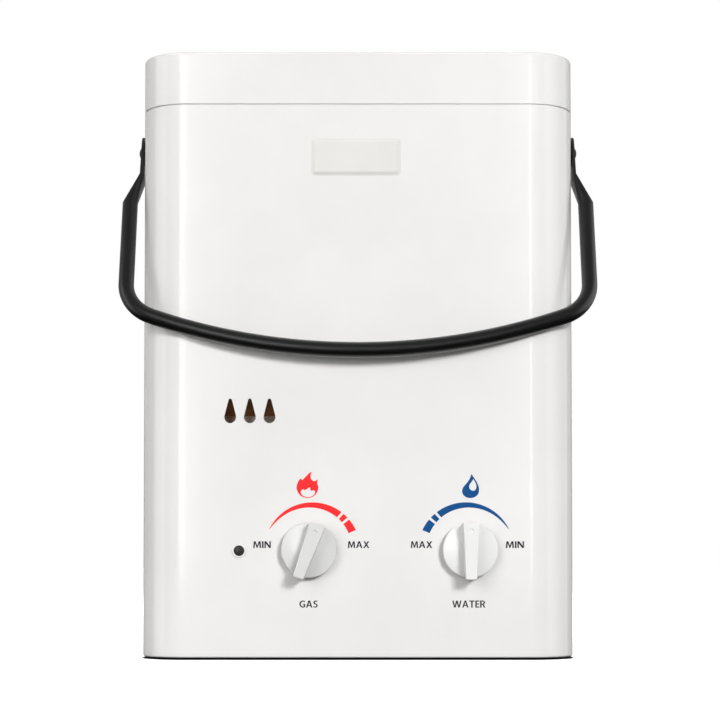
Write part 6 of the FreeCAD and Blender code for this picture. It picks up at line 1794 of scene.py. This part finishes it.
@dataclass
class RodSpring:
    """Coil spring round the push rod, which the rod's collar presses towards the gas valve.

    Attributes:
        fixed_x: X of the end that stays.
        free_x: X of the end that the collar presses.
        travel: How far the collar presses it; not used.
        y: Y of the coil's axis.
        z: Z of the coil's axis.
        radius: Radius of the coil, to the middle of the wire.
        wire_r: Radius of the wire.
        turns: Number of turns.
    """

    fixed_x: float = -11.0
    free_x: float = 18.5
    travel: float = 4.0
    y: float = FRONT_Y + 42.0
    z: float = KNOB_Z
    radius: float = 4.2
    wire_r: float = 0.5
    turns: int = 7

    def surface(self) -> Surface:
        """Round wire along a helix: x = start + length t, at angle 2 pi turns t round the rod.

        Returns:
            The spring in place.
        """
        t = np.linspace(0, 1, self.turns * 24 + 1)
        turn = 2 * np.pi * self.turns * t
        length = self.free_x - self.fixed_x - 2 * self.wire_r
        zero = np.zeros_like(t)
        out = np.column_stack([zero, np.cos(turn), np.sin(turn)])
        axis = np.column_stack([self.fixed_x + self.wire_r + length * t, zero + self.y,
                                zero + self.z])
        middle = axis + self.radius * out
        ahead = np.column_stack([zero + length / (2 * np.pi * self.turns),
                                 self.radius * -np.sin(turn), self.radius * np.cos(turn)])
        side = np.cross(ahead, out)
        side /= np.linalg.norm(side, axis=1, keepdims=True)
        angle = around(12)[None, :, None]
        ring = np.cos(angle) * out[:, None] + np.sin(angle) * side[:, None]
        points = middle[:, None] + self.wire_r * ring
        return grid(points, wrap=True) + end_face(points[0]) + end_face(points[-1])

    def dress(self) -> None:
        """Make the spring, with a mesh of its own."""
        spring = make_piece("return_spring", self.surface(), SPRING_STEEL,
                            replaces=("rod_spring",), sharp=60.0)
        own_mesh(spring)


@dataclass
class Internals:
    """Parts whose solid shape is already right: each gets its finish.

    Attributes:
        finishes: The parts in each finish.
    """

    finishes: dict[Finish, tuple[str, ...]] = field(default_factory=lambda: {
        GREY_POWDER: ("back_plate",),
        GALVANISED: ("base_plate", "sight_window_frame", "exchanger_brackets", "flue_hood",
                     "electrode_bracket", "switch_bracket"),
        ZINC: ("pivot_nuts", "overheat_thermostat", "solenoid_valve", "valve_screws", "hinge_pin",
               "case_screws"),
        STAINLESS: ("burner_bars", "burner_frame"),
        SPRING_STEEL: ("switch_lever", "battery_contacts", "door_contact"),
        BURNT_COPPER: ("chamber_shell",),
        COPPER: ("fin_pack", "exchanger_tubes", "chamber_coil", "cold_pipe",
                 "hot_pipe"),
        BRASS: ("gas_nozzles", "water_valve_body", "water_valve_cover", "push_rod", "pipe_nuts",
                "relief_valve", "gas_spindle", "water_spindle"),
        CAST_ALUMINIUM: ("gas_manifold", "gas_valve_body", "gas_pipe"),
        MICA: ("sight_window",),
        BLACK_PLASTIC: ("lamp_holder", "microswitch", "battery_box", "battery_door",
                        "ignition_module", "tilt_switch"),
        RUBBER: ("diaphragm",),
        CERAMIC: ("electrodes",),
        SILICONE: ("ignition_leads",),
        CELL_JACKET: ("batteries",),
    })

    def dress(self, nodes: dict[str, bpy.types.Object]) -> None:
        """Give every listed part its material, in its object's own slots.

        Args:
            nodes: The solid parts by name.
        """
        for finish, names in self.finishes.items():
            for name in names:
                part = nodes[name]
                if not part.material_slots:
                    part.data.materials.append(None)
                for place in part.material_slots:
                    place.link = "OBJECT"
                    place.material = finish.material()
            LOG.info("%s on %s", finish.name, ", ".join(names))


# ---------------------------------------------------------------- studio

class Seen(Enum):
    """Which rays find a light."""

    SHADING = "shading alone"
    GLOSS = "gloss alone"


@dataclass(frozen=True)
class SoftLight:
    """Rectangular light.

    Attributes:
        name: What it does.
        place: Where it stands, in metres.
        size: Width and height in metres.
        power: Power in watts.
        seen: Which rays find it.
        target: The point that it faces, in metres.
    """

    name: str
    place: tuple[float, float, float]
    size: tuple[float, float]
    power: float
    seen: Seen
    target: tuple[float, float, float] = (0.0, 0.0, 0.2)

    def make(self) -> None:
        """Add the light to the scene."""
        data = bpy.data.lights.new(self.name, "AREA")
        data.shape = "RECTANGLE"
        data.size, data.size_y = self.size
        data.energy = self.power
        lamp = bpy.data.objects.new(self.name, data)
        lamp.location = self.place
        aim = Vector(self.target) - Vector(self.place)
        lamp.rotation_euler = aim.to_track_quat("-Z", "Y").to_euler()
        lamp.visible_glossy = lamp.visible_transmission = self.seen is Seen.GLOSS
        lamp.visible_diffuse = self.seen is Seen.SHADING
        lamp.visible_camera = False
        show(lamp)


@dataclass
class Studio:
    """Camera, pale floor with painted shade round the heater, soft lights and a bright surround.

    Attributes:
        SENSOR: Width of the camera's sensor in millimetres.
        CLIP: Nearest and furthest distance that the camera sees, in metres.
        WHITE: Plain white light.
        SHADE_AND_PAPER: Painted shade under the heater, then the paper's colour beside it, sRGB
            hex.
        PAPER_ROUGH: Roughness of the floor.
        lens: Focal length in millimetres.
        camera_at: Place of the camera in millimetres.
        camera_tilt: Turn of the camera about +X, in degrees; 90 looks level.
        rise: Upward shift of the frame, in frame widths.
        floor_half: Half the floor's width in millimetres.
        floor_glow: Own light of the floor beside the heater, as painted shade, and further away.
        glow_reach: Distances in millimetres over which that light grows out of painted shade.
        fill: Brightness of the surround as a light.
        gleam: Brightness of the surround in glossy surfaces, straight up and towards the rear.
        gleam_span: Upward, then rearward part of a direction over which that light grows.
        lights: The soft lights.
    """

    SENSOR = 36.0
    CLIP = (0.01, 50.0)
    WHITE = (1.0, 1.0, 1.0, 1.0)
    # Painted shade under the heater first, then the paper's own colour.
    SHADE_AND_PAPER = ("#050505", "#EDEDED")
    PAPER_ROUGH = 0.9
    lens: float = 96.59
    camera_at: tuple[float, float, float] = (1.47, FRONT_Y - 1345.0, 70.7)
    camera_tilt: float = 92.0
    rise: float = 0.1814
    floor_half: float = 12000.0
    floor_glow: tuple[float, float] = (0.7, 0.95)
    glow_reach: tuple[float, float] = (2.0, 700.0)
    fill: float = 0.13
    gleam: tuple[float, float] = (0.35, 0.1)
    gleam_span: tuple[tuple[float, float], ...] = ((0.0, 1.4), (0.35, 0.9))
    lights: tuple[SoftLight, ...] = (
        SoftLight("key_upper_right", (0.90, -2.35, 0.84), (0.5, 0.5), 44.0, Seen.SHADING),
        SoftLight("front_left", (-1.1, -2.2, 0.75), (1.3, 1.3), 22.5, Seen.SHADING),
        SoftLight("side_left", (-2.1, -0.2, 0.45), (1.2, 1.2), 8.0, Seen.SHADING),
        SoftLight("side_right", (2.15, 0.3, 0.45), (1.2, 1.2), 2.0, Seen.SHADING),
        SoftLight("overhead", (0.0, 0.25, 2.0), (1.4, 1.4), 12.0, Seen.SHADING),
        SoftLight("floor_bounce", (0.0, -0.168, 0.002), (0.6, 0.24), 0.068, Seen.SHADING,
                  (0.0, -0.168, 1.0)),
        SoftLight("rear_left", (-1.35, 1.61, 0.8), (1.0, 1.2), 30.0, Seen.SHADING),
        SoftLight("rear_right", (1.35, 1.61, 0.8), (1.0, 1.2), 30.0, Seen.SHADING),
        SoftLight("box_left", (-0.434, -1.39, 0.46), (0.40, 0.85), 3.4, Seen.GLOSS,
                  (-0.2, 0.0, 0.46)),
        SoftLight("box_right", (0.30, -1.39, 0.46), (0.09, 0.85), 0.95, Seen.GLOSS,
                  (0.2, 0.0, 0.46)),
        SoftLight("wall_left", (-1.565, -0.38, 0.5), (0.98, 1.6), 5.9, Seen.GLOSS),
        SoftLight("wall_right", (1.594, -0.19, 0.5), (2.24, 1.6), 12.0, Seen.GLOSS),
        SoftLight("rim_left", (-1.5, 1.2, 0.5), (1.6, 1.4), 2.5, Seen.GLOSS),
        SoftLight("rim_right", (1.5, 1.2, 0.5), (1.6, 1.4), 2.1, Seen.GLOSS),
    )

    def camera(self) -> None:
        """Long lens, low and level with the knobs, with the frame shifted up."""
        data = bpy.data.cameras.new("camera")
        data.lens = self.lens
        data.sensor_width = self.SENSOR
        data.shift_y = self.rise
        data.clip_start, data.clip_end = self.CLIP
        eye = bpy.data.objects.new("camera", data)
        eye.location = Vector(self.camera_at) * MM
        eye.rotation_euler = (np.radians(self.camera_tilt), 0.0, 0.0)
        show(eye)
        bpy.context.scene.camera = eye

    def paper(self) -> bpy.types.Material:
        """White paper with its own light and painted shade: black under the heater, brighter far
        away.

        With p measured from the casing's middle and h half its size, the distance from the casing
        is the length of max(|p| - h + r, 0) less r, where r rounds its corners.

        Returns:
            The material.
        """
        made = bpy.data.materials.new("matt_paper_with_painted_shade")
        tree = empty_tree(made)
        round_r = Casing.front_r * MM
        half = (HALF_WIDTH * MM - round_r, (REAR_Y - FRONT_Y) / 2 * MM - round_r, 1.0)
        spot = add_node(tree, "TexCoord").outputs["Object"]
        for operation, operand in (("SUBTRACT", (0.0, MIDDLE_Y * MM, 0.0)), ("ABSOLUTE", None),
                                   ("SUBTRACT", half), ("MAXIMUM", (0.0, 0.0, 0.0))):
            inputs = {0: spot} if operand is None else {0: spot, 1: operand}
            spot = add_node(tree, "VectorMath", {"operation": operation},
                            inputs).outputs["Vector"]
        away = add_node(tree, "VectorMath", {"operation": "LENGTH"}, {0: spot}).outputs["Value"]
        beside, near, far = (round_r + reach * MM for reach in (0.0, *self.glow_reach))
        close_glow, far_glow = self.floor_glow
        # Painted shade: the floor's own light is 0 under the heater and grows from its edge
        # outwards.
        glow_out_of_painted_shade = add_node(tree, "MapRange", inputs={
            "Value": away, "From Min": beside, "From Max": near, "To Min": 0.0,
            "To Max": close_glow})
        growth = add_node(tree, "MapRange", {"interpolation_type": "SMOOTHSTEP"}, {
            "Value": away, "From Min": near, "From Max": far, "To Min": 0.0,
            "To Max": far_glow - close_glow})
        glow = add_node(tree, "Math", {"operation": "ADD"},
                        {0: glow_out_of_painted_shade.outputs["Result"], 1: growth.outputs["Result"]})
        # Painted shade: the paper is near black under the heater.
        out_of_painted_shade = add_node(tree, "MapRange", inputs={
            "Value": away, "From Min": beside, "From Max": near})
        tone = add_node(tree, "Mix", {"data_type": "RGBA"}, {
            "Factor": out_of_painted_shade.outputs["Result"], "A": linear_rgba(self.SHADE_AND_PAPER[0]),
            "B": linear_rgba(self.SHADE_AND_PAPER[1])})
        shader = add_node(tree, "BsdfPrincipled", inputs={
            "Base Color": tone.outputs["Result"], "Roughness": self.PAPER_ROUGH,
            "Emission Color": self.WHITE, "Emission Strength": glow.outputs["Value"]})
        add_node(tree, "OutputMaterial", inputs={"Surface": shader.outputs["BSDF"]})
        return made

    def floor(self) -> None:
        """Flat sheet of pale paper under the heater, which neither lights it nor shows in it."""
        half = self.floor_half
        corners = [[(-half, y, 0), (half, y, 0)] for y in (-half, half)]
        sheet = grid(np.array(corners, float))
        mesh = bpy.data.meshes.new("studio_floor")
        mesh.from_pydata((sheet.points * MM).tolist(), [], sheet.faces)
        mesh.materials.append(self.paper())
        ground = bpy.data.objects.new("studio_floor", mesh)
        ground.visible_diffuse = False
        ground.visible_glossy = False
        show(ground)

    def backdrop(self) -> None:
        """Even white behind the heater, dimmer where it lights it or shows in its gloss."""
        world = bpy.data.worlds.new("studio_surround")
        bpy.context.scene.world = world
        tree = empty_tree(world)
        direction = add_node(tree, "TexCoord")
        heading = add_node(tree, "SeparateXYZ", inputs={"Vector": direction.outputs["Generated"]})
        above, behind = (add_node(tree, "MapRange", {"interpolation_type": "SMOOTHSTEP"}, {
            "Value": heading.outputs[axis], "From Min": low, "From Max": high, "To Max": most})
            for axis, (low, high), most in zip("ZY", self.gleam_span, self.gleam))
        gleam = add_node(tree, "Math", {"operation": "MAXIMUM"},
                         {0: above.outputs["Result"], 1: behind.outputs["Result"]})
        path = add_node(tree, "LightPath")
        seen = add_node(tree, "Mix", inputs={
            "Factor": path.outputs["Is Glossy Ray"], "A": self.fill, "B": gleam.outputs["Value"]})
        strength = add_node(tree, "Mix", inputs={
            "Factor": path.outputs["Is Camera Ray"], "A": seen.outputs["Result"], "B": 1.0})
        glow = add_node(tree, "Background", inputs={
            "Color": self.WHITE, "Strength": strength.outputs["Result"]})
        add_node(tree, "OutputWorld", inputs={"Surface": glow.outputs["Background"]})

    def build(self) -> None:
        """Set up everything round the heater."""
        self.camera()
        self.floor()
        self.backdrop()
        for light in self.lights:
            light.make()
        bpy.context.scene.view_settings.view_transform = "Standard"
        LOG.info("studio with %d lights", len(self.lights))


def main() -> None:
    """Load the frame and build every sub-assembly in order."""
    logging.basicConfig(level=logging.INFO, format="%(name)s: %(message)s")
    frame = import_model()
    Studio().build()
    Casing().dress()
    Plaque().dress()
    Print().dress()
    Lamp().dress()
    # The gas knob's white has painted shade in it, which makes it greyer than the water knob's.
    for knob in (Knob("gas", GAS_X, 20.0, finish=SHADED_WHITE_ABS), Knob("water", WATER_X, 0.0)):
        knob.dress()
    Handle().dress()
    Connections().dress()
    RodSpring().dress()
    Internals().dress(frame["nodes"])


if __name__ == "__main__":
    main()
